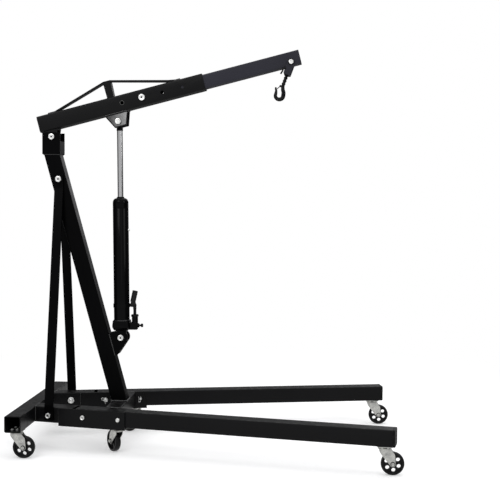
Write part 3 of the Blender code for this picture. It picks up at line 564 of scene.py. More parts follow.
def trimmed(made, point, normal):
    """Cuts off what lies beyond a plane and closes the cut."""
    work = bmesh.new()
    work.from_mesh(made.data)
    geometry = work.verts[:] + work.edges[:] + work.faces[:]
    found = bmesh.ops.bisect_plane(work, geom=geometry, plane_co=point, plane_no=normal, clear_outer=True)
    rim = [e for e in found["geom_cut"] if isinstance(e, bmesh.types.BMEdge)]
    bmesh.ops.triangle_fill(work, edges=rim, use_beauty=True, use_dissolve=False)
    bmesh.ops.recalc_face_normals(work, faces=work.faces)
    work.to_mesh(made.data)
    work.free()
    return made


# ---- steelwork
TUBE_EDGE = 0.0012
LEG_EDGE = 0.0011
PLATE_EDGE = 0.0008
SOCKET_EDGE = 0.0016
CAP_LENGTH = 0.011
CORNERS = [(a, b) for a in (-1, 1) for b in (-1, 1)]


def steelwork():
    for node in ("mast", "boom", "extension"):
        finished(node, TUBE_EDGE)
    plates = ["front_crossmember", "mast_head", "mast_ram_bracket", "boom_pivot_lug", "boom_ram_lug"]
    plates += ["boom_truss", "pump_bracket", "ram_base"]
    for label in SIDES:
        plates += [f"side_rail_{label}", f"leg_pocket_{label}", f"brace_{label}"]
    for node in plates:
        finished(node, PLATE_EDGE)
    finished("rear_crossbeam", LEG_EDGE)
    finished("pump_socket", SOCKET_EDGE, PUMP_ENAMEL)
    finished("pump_plunger", PLATE_EDGE, OXIDE)


LUG_FACE = [(0.2445, 0.0225), (0.3325, 0.0225), (0.3160, -0.0260), (0.2705, -0.0260)]
LUG_SKIN = 0.00025


def lug_faces():
    """The boom lug's outer faces: bright steel plates inside the lug's painted edge, with a painted highlight
    that brightens along x.
    """
    # the faces' colour sweeps from dark to bright along x as a painted highlight
    look = steel_with_painted_highlight("lug_painted_highlight", on_boom(0.245, 0).x, on_boom(0.330, 0).x)
    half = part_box("boom_ram_lug")[1].y
    for label, side in SIDES.items():
        low, high = sorted((-side * (half - LUG_SKIN), -side * (half + LUG_SKIN)))
        plate = prism(LUG_FACE, BOOM_PIVOT, BOOM_DIR, BOOM_UP, low, high)
        piece(f"boom_lug_face_{label}", [plate], "boom", "boom_paint", 38, look)


def hole_rim():
    """A thin bare steel ring round the boom's first open hole, a painted glint on the hole's edge."""
    spot = on_boom(HOLE_FIRST, BOOM_SEAT + BOOM_TUBE / 2)
    spot.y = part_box("boom")[0].y
    rim = ring_lathe(spot, -Y, [(0, 0.0078), (0, 0.0094), (0.0004, 0.0091), (0.0004, 0.0081)])
    piece("boom_hole_rim", [rim], "boom", "boom_paint", 35, RIM_GLINT_STEEL)


def plug(name, centre, along, u, body):
    """A moulded end plug: a crowned face flush with the tube and a neck inside it."""
    inner = TUBE - 2 * WALL - 0.0006
    crown = [(-CAP_LENGTH, TUBE, 0.0062), (-0.0022, TUBE, 0.0062), (-0.0007, TUBE - 0.0012, 0.0060)]
    crown += [(0.0, TUBE - 0.0034, 0.0052), (0.0, TUBE * 0.86, 0.006), (-0.0009, TUBE * 0.83, 0.006)]
    neck = [(-CAP_LENGTH - 0.020, inner - 0.002, 0.003), (-CAP_LENGTH, inner, 0.003)]
    shapes = []
    for steps in (crown, neck):
        layers = [(d, rounded(size, size, corner)) for d, size, corner in steps]
        shapes.append(layered(centre, along, u, layers))
    piece(name, shapes, body, "base_paint", 42, CAP_PLASTIC)


def capped_legs():
    """The legs, cut back a little so that their plugs end where the solids do."""
    for label, side in SIDES.items():
        node, along, end = f"leg_{label}", rail_dir(side), on_rail(side, LEG_REACH)
        cut = end - along * (CAP_LENGTH + 0.0004)
        leg = trimmed(copy_of(node, node + "_finished"), cut, along)
        dressed(soften(leg, LEG_EDGE), node, "base_paint", [node])
        plug(f"leg_plug_{label}", end, along, rail_out(side), node)


def beam_nuts():
    """The nuts of the rear casters, seen through the open ends of the rear beam."""
    nuts = []
    for label in SIDES:
        for a, b in CORNERS:
            spot = middle("caster_plate_rear_" + label) + X * (a * PLATE_BOLT_X) + Y * (b * PLATE_BOLT_Y)
            spot.z = UNDERSIDE + WALL + 0.0002
            nuts.append(washer(spot, Z, 0.0076, 0.0012, 0.0032))
            nuts.append(hex_block(spot + Z * 0.0012, Z, 0.0120, 0.0042, 0.4 * a))
            nuts.append(threads(spot + Z * 0.0050, Z, 0.0031, 0.0016, 0.0008))
    piece("beam_nuts", nuts, "base", "bolt_zinc", 33)


# ---- bolts
WASHER = 0.0018
CLIP_WIRE = 0.0011


def span_of(node, along):
    """A point on a bolt's axis, and how far along the axis the bolt starts and ends."""
    u = along.orthogonal().normalized()
    v = along.cross(u)
    points = [p.co for p in frame["nodes"][node].data.vertices]
    reach = [(min(p.dot(d) for p in points), max(p.dot(d) for p in points)) for d in (along, u, v)]
    return u * (sum(reach[1]) / 2) + v * (sum(reach[2]) / 2), *reach[0]


def hex_block(origin, along, across, thick, turn=0.0):
    """A hexagon with its outer corners turned off in a cone and its face slightly dished."""
    u = Matrix.Rotation(turn, 3, along) @ along.orthogonal().normalized()
    corner = across / 2 / math.cos(math.pi / 6)
    flat = across / 2
    steps = [(0, flat * 1.02), (0.10, corner), (0.72, corner), (0.92, flat * 1.04), (1, flat * 0.90)]
    layers = [(thick * share, hexagon(across, limit)) for share, limit in steps]
    layers += [(thick, circle(flat * 0.78)), (thick * 0.86, circle(flat * 0.62))]
    return layered(origin, along, u, layers)


def washer(origin, along, radius, thick, bore):
    edge = thick * 0.25
    profile = [(0, bore), (0, radius - edge), (edge, radius)]
    profile += [(thick - edge, radius), (thick, radius - edge), (thick, bore)]
    return ring_lathe(origin, along, profile)


def threads(origin, along, radius, length, pitch=0.0016):
    """A threaded end with its point chamfered."""
    profile = [(0, radius * 0.9)]
    at = 0.0
    while at < length - pitch:
        profile += [(at + pitch * 0.25, radius), (at + pitch * 0.45, radius)]
        profile.append((at + pitch * 0.85, radius * 0.88))
        at += pitch
    profile += [(length - pitch * 0.4, radius * 0.94), (length, radius * 0.78)]
    return lathe(origin, along, profile, 32)


def bolt(node, along, radius, spare=0.004, turn=0.3, near_washer=1.78, far_washer=1.85,
         size=2.95, nut=2.95, painted_shade_centre=0.17):
    """A hex bolt over a CAD bolt: dark washers, dished head with a dark disc in its middle as painted shade,
    nut, threaded end.
    """
    axis, low, high = span_of(node, along)
    head, across, bore, shank = radius * 1.1, radius * size, radius * 1.02, radius * 0.985
    start, end = axis + along * (low + head), axis + along * (high - head)
    dark = [washer(start, -along, radius * near_washer, WASHER, bore)]
    dark.append(washer(end, along, radius * far_washer, WASHER, bore))
    # painted shade: a dark disc in the dish of the head's face
    if painted_shade_centre:
        face = start - along * (WASHER + (head + 0.0004) * 0.86)
        dark.append(lathe(face, -along, [(0, across * painted_shade_centre), (0.0003, across * painted_shade_centre * 0.9)], 32))
    piece(node + "_washer", dark, BODY_OF[node], "bolt_zinc", 33, OXIDE)
    bright = [
        hex_block(start - along * WASHER, -along, across, head + 0.0004, turn),
        lathe(start, along, [(0, shank), ((end - start).length, shank)], 32),
        hex_block(end + along * WASHER, along, radius * nut, head + 0.0012, turn + 0.4),
        threads(end + along * (WASHER + head * 0.9), along, radius * 0.95, spare + 0.0012),
    ]
    piece(node + "_hardware", bright, BODY_OF[node], "bolt_zinc", 33, stands_for=[node])


def wire_clip(name, spot, out, along, body):
    """A spring clip through the end of a bolt: a straight leg and a leg that bows round the shank."""
    side = along.cross(out)
    shape = [(0.013, 0.0), (-0.010, 0.0), (-0.0165, -0.003), (-0.0175, -0.008), (-0.013, -0.0115)]
    shape += [(-0.007, -0.0085), (0.0, -0.0078), (0.006, -0.0088), (0.012, -0.0125)]
    line = [spot + along * a + side * b for a, b in curve_through(shape, 5)]
    piece(name, [wire(line, CLIP_WIRE, 8, out)], body, "bolt_zinc", 35)


def lock_pin(label, side):
    """A pull pin: turned head outside, grooved nose inside with a wire clip through it."""
    node = f"lock_pin_{label}"
    out, along = rail_out(side), rail_dir(side)
    axis, low, high = span_of(node, out)
    r = LEG_BOLT_R
    nose = [(low, r * 0.6), (low + 0.002, r * 0.8), (low + 0.004, r * 0.985), (high - 0.006, r * 0.985)]
    grip = [(-0.0090, 1.0), (-0.0088, 1.32), (-0.0078, 1.45), (-0.0030, 1.45), (-0.0014, 1.3)]
    grip += [(-0.0006, 1.1), (-0.0006, 0.75), (-0.0020, 0.55)]
    head = lathe(axis + out * high, out, [(d, r * share) for d, share in grip], 40)
    spot = axis + out * (low + 0.0050)
    loop = [(0, 0.012), (0, -0.010)]
    loop += [(0.004 * math.cos(t) - 0.004, -0.010 - 0.004 * math.sin(t)) for t in (0.6, 1.3, 2.0, 2.7, 3.3)]
    loop += [(-0.0085, -0.004), (-0.0078, 0.004), (-0.0092, 0.012)]
    line = [spot + along * a + Z * b for a, b in curve_through(loop, 5)]
    parts = [lathe(axis, out, nose, 32), head, wire(line, CLIP_WIRE, 8, out)]
    piece(node + "_hardware", parts, BODY_OF[node], "bolt_zinc", 35, stands_for=[node])


def hardware():
    for label, side in SIDES.items():
        out, along = rail_out(side), rail_dir(side)
        pivot = f"leg_pivot_bolt_{label}"
        bolt(pivot, -out, LEG_BOLT_R)
        axis, _, high = span_of(pivot, -out)
        lean = (along - Z).normalized()
        wire_clip(pivot + "_clip", axis - out * (high + 0.0045), out, lean, BODY_OF[pivot])
        bolt(f"brace_foot_bolt_{label}", -out, BASE_BOLT_R, turn=0.1, far_washer=2.35, nut=3.7)
        lock_pin(label, side)
    bolt("brace_top_bolt", Y, MAST_BOLT_R, turn=0.5)
    bolt("boom_pivot_bolt", Y, MAST_BOLT_R, turn=0.2)
    bolt("ram_foot_pin", Y, MAST_BOLT_R, turn=0.0)
    bolt("ram_top_pin", Y, MAST_BOLT_R, turn=0.7, near_washer=1.65, painted_shade_centre=0)
    bolt("extension_bolt", Y, BASE_BOLT_R, turn=0.25, near_washer=2.25, size=3.6)
    bolt("hook_pin", Y, HOOK_PIN_R, turn=0.45, spare=0.003, near_washer=2.15, size=3.0, painted_shade_centre=0)


# ---- welds
BEAD = 0.0026
MAST_BEAD = 0.0034
BOOM_BEAD = 0.0021
RAM_BEAD = 0.0022
RIPPLE = 0.0034


def weld(name, runs, body, slot, radius=BEAD):
    """A rippled bead along each run of points."""
    parts = []
    for run in runs:
        line, sizes = [], []
        for a, b in zip(run[:-1], run[1:]):
            count = max(2, int((b - a).length / (RIPPLE / 3)))
            line += [a.lerp(b, k / count) for k in range(count)]
        line.append(run[-1])
        for k, _ in enumerate(line):
            fade = min(1, k / 3 + 0.55, (len(line) - 1 - k) / 3 + 0.55)
            wave = 1 + 0.13 * math.sin(2 * math.pi * k / 3) + 0.08 * math.sin(k * 0.37)
            sizes.append(radius * fade * wave)
        parts.append(wire(line, sizes, 8, Vector((0.21, 0.35, 0.91))))
    piece(name, parts, body, slot, 80, WELD_ENAMEL)


def mast_ring(name, centre, radius=BEAD):
    """A weld all the way round the mast where a level plane cuts it."""
    reach = MAST_TUBE / 2 / math.cos(MAST_LEAN)
    corners = [(-1, -1), (1, -1), (1, 1), (-1, 1), (-1, -1)]
    ring = [centre + X * (reach * a) + Y * (MAST_TUBE / 2 * b) for a, b in corners]
    weld(name, [ring], "base", "mast_paint", radius)


def rail_at(side, x, out, z):
    """The point on a line along the rail where it reaches x."""
    start, along = on_rail(side, 0, out, z), rail_dir(side)
    return start + along * ((x - start.x) / along.x)


def base_welds():
    low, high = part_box("front_crossmember")
    for label, side in SIDES.items():
        half = TUBE / 2 - 0.0005
        bottom, top = UNDERSIDE + 0.002, BASE_TOP - 0.001
        outline = [(-half, bottom), (-half, top), (half, top), (half, bottom)]
        runs = [[rail_at(side, REAR_FACE + TUBE + 0.0008, out, z) for out, z in outline]]
        for across in (-1, 1):
            rear = on_rail(side, POCKET_REAR - 0.0008, across * (TUBE / 2 + 0.0012))
            runs.append([rear + Z * (b * (TUBE / 2 - 0.001)) for b in (-1, 0.92)])
        ends = [rail_at(side, x, -POCKET_HALF - 0.0006, high.z) for x in (low.x + 0.004, high.x - 0.004)]
        runs += [[q - Z * (high.z - low.z - 0.004), q - Z * 0.002] for q in ends] + [ends]
        weld(f"base_weld_{label}", runs, "base", "base_paint")


def mast_welds():
    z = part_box("mast_head")[0].z - 0.0006
    mast_ring("mast_head_weld", Vector((mast_axis(z).x, 0, z)))
    origin = mast_axis(RAM_FOOT.z)
    rise = (RAM_FOOT - origin).dot(MAST_DIR)
    edge = origin + MAST_FRONT * (MAST_TUBE / 2 + 0.0008)
    runs = []
    for side in (-1, 1):
        runs.append([edge + MAST_DIR * (rise + s) + Y * (side * 0.0268) for s in (-0.068, 0.029)])
    weld("ram_bracket_weld", runs, "base", "mast_paint")
    mast_ring("mast_foot_weld", MAST_FOOT + Z * 0.0012, MAST_BEAD)


def boom_welds():
    under = BOOM_SEAT - 0.0004
    over = BOOM_SEAT + BOOM_TUBE + 0.0005
    runs = [[on_boom(a, under, s * 0.0306) for a in (0.238, 0.335)] for s in (-1, 1)]
    runs += [[on_boom(0.3375, under, s * 0.030) for s in (-1, 1)]]
    for ends in ((0.006, 0.034), (0.555, 0.581)):
        runs += [[on_boom(a, over, s * 0.0195) for a in ends] for s in (-1, 1)]
    for a in (0.004, 0.582, 0.2635, 0.2935):
        runs.append([on_boom(a, over, s * 0.018) for s in (-1, 1)])
    weld("boom_weld", runs, "boom", "boom_paint", BOOM_BEAD)


# ---- casters
HUB = Vector((TRAIL, 0, WHEEL_R))
CHEEK_IN = 0.0135
CHEEK_OUT = 0.0160
AXLE_HEX = 0.0125
SPOKE_HOLES = 6
PLATE_DEPTH = 0.016


def wheel_mesh():
    """A solid moulded wheel: crowned tread, dished web with six holes, long hub."""
    r, w = WHEEL_R, WHEEL_HALF
    half = [(0.0, r), (w * 0.3, r - 0.0001), (w * 0.52, r - 0.0006)]
    for t in (1.5, 1.2, 0.8, 0.4, 0.0):
        half.append((w - 0.0042 + 0.0042 * math.cos(t), r - 0.0062 + 0.0050 * math.sin(t)))
    half += [(w, r * 0.80), (w - 0.0008, r * 0.775), (w * 0.55, r * 0.755), (w * 0.42, r * 0.735)]
    half += [(w * 0.40, r * 0.36), (w * 0.50, r * 0.325), (w * 0.96, r * 0.30), (w, r * 0.285), (w, r * 0.16)]
    loop = [(-y, d) for y, d in half[:0:-1]] + half
    wheel = make("wheel", ring_lathe(Vector(), Y, loop, 72))
    cutters = []
    for k in range(SPOKE_HOLES):
        turn = math.radians(360 / SPOKE_HOLES * k + 37.5)
        spot = Vector((math.cos(turn), 0, math.sin(turn))) * (0.555 * r)
        cutters.append(make("cutter", lathe(spot - Y * 0.02, Y, [(0, 0.172 * r), (0.04, 0.172 * r)], 28)))
    carve(wheel, *cutters)
    soften(wheel, 0.0005, 50)
    mesh = wheel.data
    bpy.data.objects.remove(wheel)
    return mesh


def fork_cheeks(high, low):
    """Two raked cheeks between the crown and the axle."""
    turn = arc(HUB.x, HUB.z, 0.0112, 205, 345, 10)
    left = [(-0.0205, high - 0.002), (-0.0205, low - 0.006), (-0.010, low - 0.022), turn[0]]
    right = [turn[-1], (0.038, low - 0.020), (0.030, low - 0.008), (0.0215, high - 0.002)]
    outline = curve_through(left, 4)[:-1] + turn + curve_through(right, 4)[1:]
    return [prism(outline, Vector(), X, Z, *sorted((k * CHEEK_IN, k * CHEEK_OUT))) for k in (-1, 1)]


def fork_mesh(top):
    """A pressed fork: domed crown with a ball race, two ribbed cheeks, and the axle with its bushes."""
    high, low = top - 0.0068, top - 0.0132
    fork = soften(make("fork", *fork_cheeks(high, low)), 0.0007, 40)
    crown = [(high, 0.0064), (high, 0.0195), (high - 0.0008, 0.0222), (high - 0.0026, 0.0238)]
    crown += [(low, 0.0240), (low - 0.0012, 0.0228), (low - 0.0004, 0.0215), (low + 0.0018, 0.0205)]
    crown += [(low + 0.0018, 0.0064)]
    parts = [ring_lathe(Vector(), Z, crown, 56)]
    for k in (-1, 1):
        ends = ((-0.006, low - 0.010), (0.010, low - 0.022), (0.022, HUB.z + 0.014))
        rib = [Vector((a, k * CHEEK_OUT, b)) for a, b in ends]
        parts.append(wire(rib, [0.0006, 0.0016, 0.0006], 8))
    sleeve = [(WHEEL_HALF, 0.0052), (CHEEK_IN, 0.0052), (CHEEK_IN, 0.0085), (WHEEL_HALF, 0.0085)]
    parts += [ring_lathe(HUB, Y * k, sleeve, 32) for k in (-1, 1)]
    parts.append(lathe(HUB - Y * CHEEK_OUT, Y, [(0, 0.0049), (2 * CHEEK_OUT, 0.0049)], 32))
    parts.append(hex_block(HUB - Y * (CHEEK_OUT + 0.001), -Y, AXLE_HEX, 0.0046, 0.3))
    parts.append(hex_block(HUB + Y * (CHEEK_OUT + 0.001), Y, AXLE_HEX, 0.0046, 0.1))
    parts.append(threads(HUB + Y * (CHEEK_OUT + 0.005), Y, 0.0047, 0.0022, 0.001))
    return joined(fork, shade(make("extra", *parts), 36))


def plate_mesh(top):
    """The bolted plate with its pressed race and king pin."""
    ceiling = Vector((0, 0, top))
    outline = rounded(0.058, 0.058, 0.007)
    slab = layered(ceiling, -Z, X, [(0, outline), (0.003, outline)])
    plate = soften(make("plate", slab), 0.0006)
    race = [(0.0028, 0.0205), (0.0034, 0.0203), (0.0050, 0.0198), (0.0060, 0.0190)]
    race += [(0.0064, 0.0180), (0.0064, 0.0066), (0.0028, 0.0066)]
    parts = [ring_lathe(ceiling, -Z, race, 56)]
    parts.append(lathe(ceiling, -Z, [(0.003, 0.0058), (0.0150, 0.0058), (0.0160, 0.0050)], 32))
    for a, b in CORNERS:
        spot = Vector((a * PLATE_BOLT_X, b * PLATE_BOLT_Y, top - 0.003))
        parts.append(washer(spot, -Z, 0.0050, 0.0006, 0.0030))
        parts.append(hex_block(spot - Z * 0.0006, -Z, 0.0078, 0.0030, 0.2 * a + 0.1 * b))
    return joined(plate, shade(make("extra", *parts), 36))


def washers_mesh():
    """The dark washers under the axle's head and nut."""
    rings = [washer(HUB + Y * (k * CHEEK_OUT), Y * k, 0.0092, 0.0010, 0.0050) for k in (-1, 1)]
    return joined(shade(make("washers", *rings), 36))


def joined(*objects):
    """One mesh from several objects, which are removed."""
    work = bmesh.new()
    for made in objects:
        work.from_mesh(made.data)
    mesh = bpy.data.meshes.new(objects[0].name)
    work.to_mesh(mesh)
    work.free()
    for made in objects:
        bpy.data.objects.remove(made)
    return mesh


def placed_copy(node, ending, mesh, place, look=None):
    """A turned copy of a mesh, which stands for the node unless it has a look of its own."""
    made = linked(node + ending, mesh.copy())
    made.data.transform(place)
    made.modifiers.new("weighted", "WEIGHTED_NORMAL").keep_sharp = True
    return dressed(made, BODY_OF[node], SLOT_OF[node], () if look else [node], look)


def casters():
    wheel = wheel_mesh()
    headings = {"rear": 0.0, "middle": MID_HEADING, "front": 0.0}
    for label, side in SIDES.items():
        for row, heading in headings.items():
            spot_name = f"{row}_{label}"
            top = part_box("caster_plate_" + spot_name)[0].z + PLATE_DEPTH
            spot = middle("caster_plate_" + spot_name)
            spot.z = 0
            turn = Matrix.Rotation(heading if side < 0 else -heading, 4, "Z")
            place = Matrix.Translation(spot) @ turn
            hub = Matrix.Translation(place @ HUB) @ turn
            placed_copy("caster_plate_" + spot_name, "_detailed", plate_mesh(top), place)
            placed_copy("caster_fork_" + spot_name, "_detailed", fork_mesh(top), place)
            placed_copy("caster_fork_" + spot_name, "_washers", washers_mesh(), place, OXIDE)
            placed_copy("caster_wheel_" + spot_name, "_detailed", wheel, hub)


# ---- ram and pump
BARREL_WALL = 0.006
CAP_TOP = SHOULDER + CAP_RISE
PUMP_OUT = 0.056
LINK_ALONG = 0.135
LINK_GAP = 0.009
DRIVE_ALONG = 0.133
ROD_LOW = BLOCK_TOP + 0.160
EYE_WIDE = 0.045
EYE_SHIFT = -0.003
EYE_FRAME = 0.012


def ram_barrel():
    """The barrel with a groove near its top, a domed shoulder and the rod's bore."""
    r, foot = CYLINDER_R, BLOCK_TOP + 0.0003
    shell = [(foot, r - 0.001), (foot + 0.001, r), (SHOULDER - 0.026, r), (SHOULDER - 0.025, r - 0.0006)]
    shell += [(SHOULDER - 0.0235, r - 0.0006), (SHOULDER - 0.0225, r), (SHOULDER - 0.001, r)]
    for t in (0.15, 0.35, 0.6, 0.85, 1.1, 1.35, 1.55):
        shell.append((SHOULDER + CAP_RISE * math.sin(t) * 0.86, r * (0.52 + 0.48 * math.cos(t))))
    shell += [(SHOULDER + CAP_RISE * 0.87, r * 0.50), (CAP_TOP, r * 0.49), (CAP_TOP, ROD_R + 0.0012)]
    shell += [(CAP_TOP - 0.004, ROD_R + 0.0004), (SHOULDER - 0.02, ROD_R + 0.0004)]
    shell += [(SHOULDER - 0.02, r - BARREL_WALL), (foot, r - BARREL_WALL)]
    barrel = ring_lathe(RAM_FOOT, RAM_DIR, shell, 72)
    piece("ram_barrel", [barrel], "ram_cylinder", "ram_paint", 32, stands_for=["ram_cylinder"])
    bead = placed(circle(r, 60) + [(r, 0)], on_ram(foot), RAM_OUT, Y)
    weld("ram_foot_weld", [bead], "ram_cylinder", "ram_paint", RAM_BEAD)


def ram_fittings():
    """The oil filler's plug on the barrel and the rod's wiper."""
    spot = on_ram(0.455, CYLINDER_R - 0.001)
    boss = lathe(spot, RAM_OUT, [(0, 0.0062), (0.0022, 0.0062), (0.0026, 0.0058)], 24)
    cap = hex_block(spot + RAM_OUT * 0.0024, RAM_OUT, 0.0085, 0.0032)
    piece("ram_filler_plug", [boss, cap], "ram_cylinder", "bolt_zinc")
    lip = [(-0.0020, 0.0002), (-0.0020, 0.0034), (0.0018, 0.0030), (0.0030, 0.0012), (0.0030, 0.0002)]
    wiper = ring_lathe(RAM_FOOT, RAM_DIR, [(CAP_TOP + d, ROD_R + out) for d, out in lip])
    piece("ram_wiper", [wiper], "ram_cylinder", "ram_paint", 40, CAP_PLASTIC)


def rod_and_eye():
    """The chromed rod, its dark collar and the slotted eye round the boom's pin."""
    top = (RAM_TOP - RAM_FOOT).length
    low, high = top - 0.0155, top + 0.0142
    neck = ROD_R * 0.88
    steps = [(ROD_LOW, ROD_R), (low - 0.022, ROD_R), (low - 0.021, neck), (low + 0.002, neck)]
    bar = lathe(RAM_FOOT, RAM_DIR, steps, 64, Y)
    piece("ram_rod_bar", [bar], "ram_rod", "rod_chrome", stands_for=["ram_rod"])
    ring = [(low - 0.0225, ROD_R * 0.9), (low - 0.0225, ROD_R + 0.0005), (low - 0.0215, ROD_R + 0.0014)]
    ring += [(low - 0.0010, ROD_R + 0.0014), (low + 0.0004, ROD_R + 0.0004), (low + 0.0004, ROD_R * 0.9)]
    piece("ram_rod_collar", [ring_lathe(RAM_FOOT, RAM_DIR, ring)], "ram_rod", "ram_paint")
    tall, centre = high - low, on_ram((low + high) / 2, EYE_SHIFT)
    outline, slot = rounded(EYE_WIDE, tall, 0.0045), rounded(EYE_WIDE - EYE_FRAME, tall - EYE_FRAME, 0.006)
    body = make("ram_rod_eye", prism(outline, centre, RAM_OUT, RAM_DIR, -0.0234, 0.0234))
    cutter = make("cutter", prism(slot, centre, RAM_OUT, RAM_DIR, -0.05, 0.05))
    dressed(soften(carve(body, cutter), 0.0008, 40), "ram_rod", "ram_paint", ["ram_rod"])


def knurled(radius, groove, steps=48):
    """A circle with every second point drawn in."""
    return [polar(2 * math.pi * k / steps, radius - groove * (k % 2)) for k in range(steps)]


def pump_details():
    """Pin heads on the pump's linkage, the barrel's gland nut and the knurled valve knob."""
    pins = []
    for spot in (on_ram(LINK_ALONG, CYLINDER_R + LINK_GAP), on_ram(DRIVE_ALONG, PUMP_OUT)):
        for side in (-1, 1):
            head = [(0, 0.0045), (0.0022, 0.0045), (0.0030, 0.0036)]
            pins.append(lathe(spot + Y * (side * 0.0078), Y * side, head, 24))
    piece("pump_link_pins", pins, "pump_socket", "bolt_zinc", look=OXIDE)
    gland = hex_block(on_ram(0.0865, PUMP_OUT), RAM_DIR, 0.0285, 0.0095, 0.2)
    piece("pump_gland_nut", [gland], "ram_cylinder", "ram_paint", 33, OXIDE)
    knob = [(0.0, 0.0040, 0), (0.0075, 0.0040, 0), (0.0076, 0.0068, 0), (0.0085, 0.0076, 0.0005)]
    knob += [(0.0150, 0.0076, 0.0005), (0.0160, 0.0066, 0), (0.0160, 0.0030, 0), (0.0155, 0.0028, 0)]
    start = on_ram(0.049, PUMP_OUT + 0.0183)
    turned = layered(start, RAM_OUT, Y, [(d, knurled(r, groove)) for d, r, groove in knob])
    piece("release_knob_knurled", [turned], "release_knob", "bolt_zinc", 30, OXIDE, ["release_knob"])


# ---- hook
CLEVIS_WALL = 0.004
CLEVIS_ROOM = EXTENSION_TUBE / 2 + 0.0005
CLEVIS_FLOOR = 0.006


def clevis():
    """A forged fork round the extension, open above its floor and bored for the hook's shank."""
    w, outer = CLEVIS_WIDTH / 2, CLEVIS_ROOM + CLEVIS_WALL
    outline = arc(0, 0, w, 180, 360, 20) + [(w, CLEVIS_DROP - 0.003), (w - 0.003, CLEVIS_DROP)]
    outline += [(-w + 0.003, CLEVIS_DROP), (-w, CLEVIS_DROP - 0.003)]
    body = make("hook_clevis_forged", prism(outline, HOOK_PIN, HOOK_SIDE, HOOK_DOWN, -outer, outer))
    room_tall = 0.12
    room_middle = HOOK_PIN + HOOK_DOWN * (CLEVIS_DROP - CLEVIS_FLOOR - room_tall / 2)
    room = prism(rounded(2 * CLEVIS_ROOM, room_tall, 0.006), room_middle, Y, HOOK_DOWN, -0.05, 0.05)
    bore = [(0, SHANK_R + 0.0004), (0.06, SHANK_R + 0.0004)]
    shank = lathe(HOOK_PIN + HOOK_DOWN * 0.02, HOOK_DOWN, bore, 32)
    made = carve(body, make("cutter", room), make("cutter", shank))
    dressed(soften(made, 0.0012, 35, 3), "hook_clevis", "extension_paint", ["hook_clevis"])


def clevis_keeper():
    """A bent keeper on the near cheek of the clevis."""
    w = CLEVIS_WIDTH / 2
    bow = [(w - 0.0040, 0.031), (w + 0.0024, 0.033), (w + 0.0050, 0.039)]
    bow += [(w + 0.0062, 0.050), (w + 0.0084, 0.061)]
    cheek = HOOK_PIN - Y * (CLEVIS_ROOM + CLEVIS_WALL / 2 + 0.0016)
    line = [cheek + HOOK_SIDE * a + HOOK_DOWN * b for a, b in curve_through(bow, 5)]
    keeper = wire(line, 0.0034, 12, Y)
    piece("clevis_keeper", [keeper], "hook_clevis", "extension_paint", 50, CAP_PLASTIC)


def bowl_point(sideways, up):
    return HOOK_PIN + HOOK_DOWN * (BOWL_DROP - up) + HOOK_SIDE * sideways


LATCH_EARS = bowl_point(SHANK_R + 0.0035, 0.038)


def hook_line():
    """Steps (sideways, up, radius) from the shank's top round the bowl to the tip."""
    neck, r = BOWL_DROP - CLEVIS_DROP, SHANK_R
    path = [(0, neck + 0.0155, r), (0, neck + 0.004, r), (0, neck - 0.010, r), (0, neck - 0.020, r * 1.12)]
    path += [(0, 0.052, r * 1.15), (-0.001, 0.040, r * 1.15), (-0.0055, 0.0275, r * 1.28)]
    path += [(-0.0125, 0.0165, r * 1.38)]
    for k in range(9):
        turn = math.radians(158 + k * 26)
        path.append((*polar(turn, BOWL_R), r * (1.42 - 0.0052 * k * k)))
    path += [(BOWL_R + 0.0025, 0.0135, r * 0.82), (BOWL_R + 0.0062, 0.0200, r * 0.70)]
    path += [(BOWL_R + 0.0088, 0.0252, r * 0.58)]
    return curve_through(path, 5)


def hook_body():
    """The forged bar: round in the shank, deeper than wide in the bowl, rounded at the tip."""
    line = hook_line()
    centres = [bowl_point(a, b) for a, b, _ in line]
    rings = []
    for k, (point, (_, up, size)) in enumerate(zip(centres, line)):
        along = (centres[min(k + 1, len(line) - 1)] - centres[max(k - 1, 0)]).normalized()
        side = along.cross(Y).normalized()
        flat = 1.0 if up > 0.045 else 0.88
        rings.append(placed([(a * flat, c * (2 - flat)) for a, c in circle(size, 24)], point, Y, side))
    along = (centres[-1] - centres[-2]).normalized()
    side = along.cross(Y).normalized()
    for d, share in ((0.0012, 0.9), (0.0021, 0.62), (0.0026, 0.25)):
        rings.append(placed(circle(line[-1][2] * share, 24), centres[-1] + along * d, Y, side))
    return mesh_of(rings)


def forged_hook():
    """The hook with its nut, collar, ringed shank and the latch's knuckles."""
    r = SHANK_R
    stem = HOOK_PIN + HOOK_DOWN * CLEVIS_DROP
    nut_top = stem - HOOK_DOWN * 0.0066
    parts = [hook_body(), hex_block(nut_top, -HOOK_DOWN, 0.0185, 0.0088, 0.2)]
    parts.append(threads(nut_top - HOOK_DOWN * 0.008, -HOOK_DOWN, r * 0.95, 0.004, 0.0012))
    collar = [(0.0006, 1), (0.0006, 1.62), (0.0016, 1.72), (0.0042, 1.72), (0.0056, 1.5), (0.0062, 1)]
    parts.append(ring_lathe(stem, HOOK_DOWN, [(d, r * share) for d, share in collar], 36))
    for at in (0.0075, 0.0200, 0.0325):
        swell = [(0, 0.9), (0.0020, 1.34), (0.0055, 1.50), (0.0090, 1.34), (0.0110, 0.9)]
        parts.append(lathe(stem + HOOK_DOWN * at, HOOK_DOWN, [(d, r * share) for d, share in swell], 36))
    for y in (-0.0075, 0.0043):
        knuckle = [(0, 0.0030), (0.0008, 0.0042), (0.0024, 0.0042), (0.0032, 0.0030)]
        parts.append(lathe(LATCH_EARS + Y * y, Y, knuckle, 24))
    for side in (-1, 1):
        root = bowl_point(SHANK_R * 0.3, 0.040) + Y * (side * 0.0045)
        parts.append(wire([LATCH_EARS + Y * (side * 0.0055), root], 0.0022, 12, X))
    piece("hook_forged", parts, "hook", "hook_steel", 34, stands_for=["hook"])


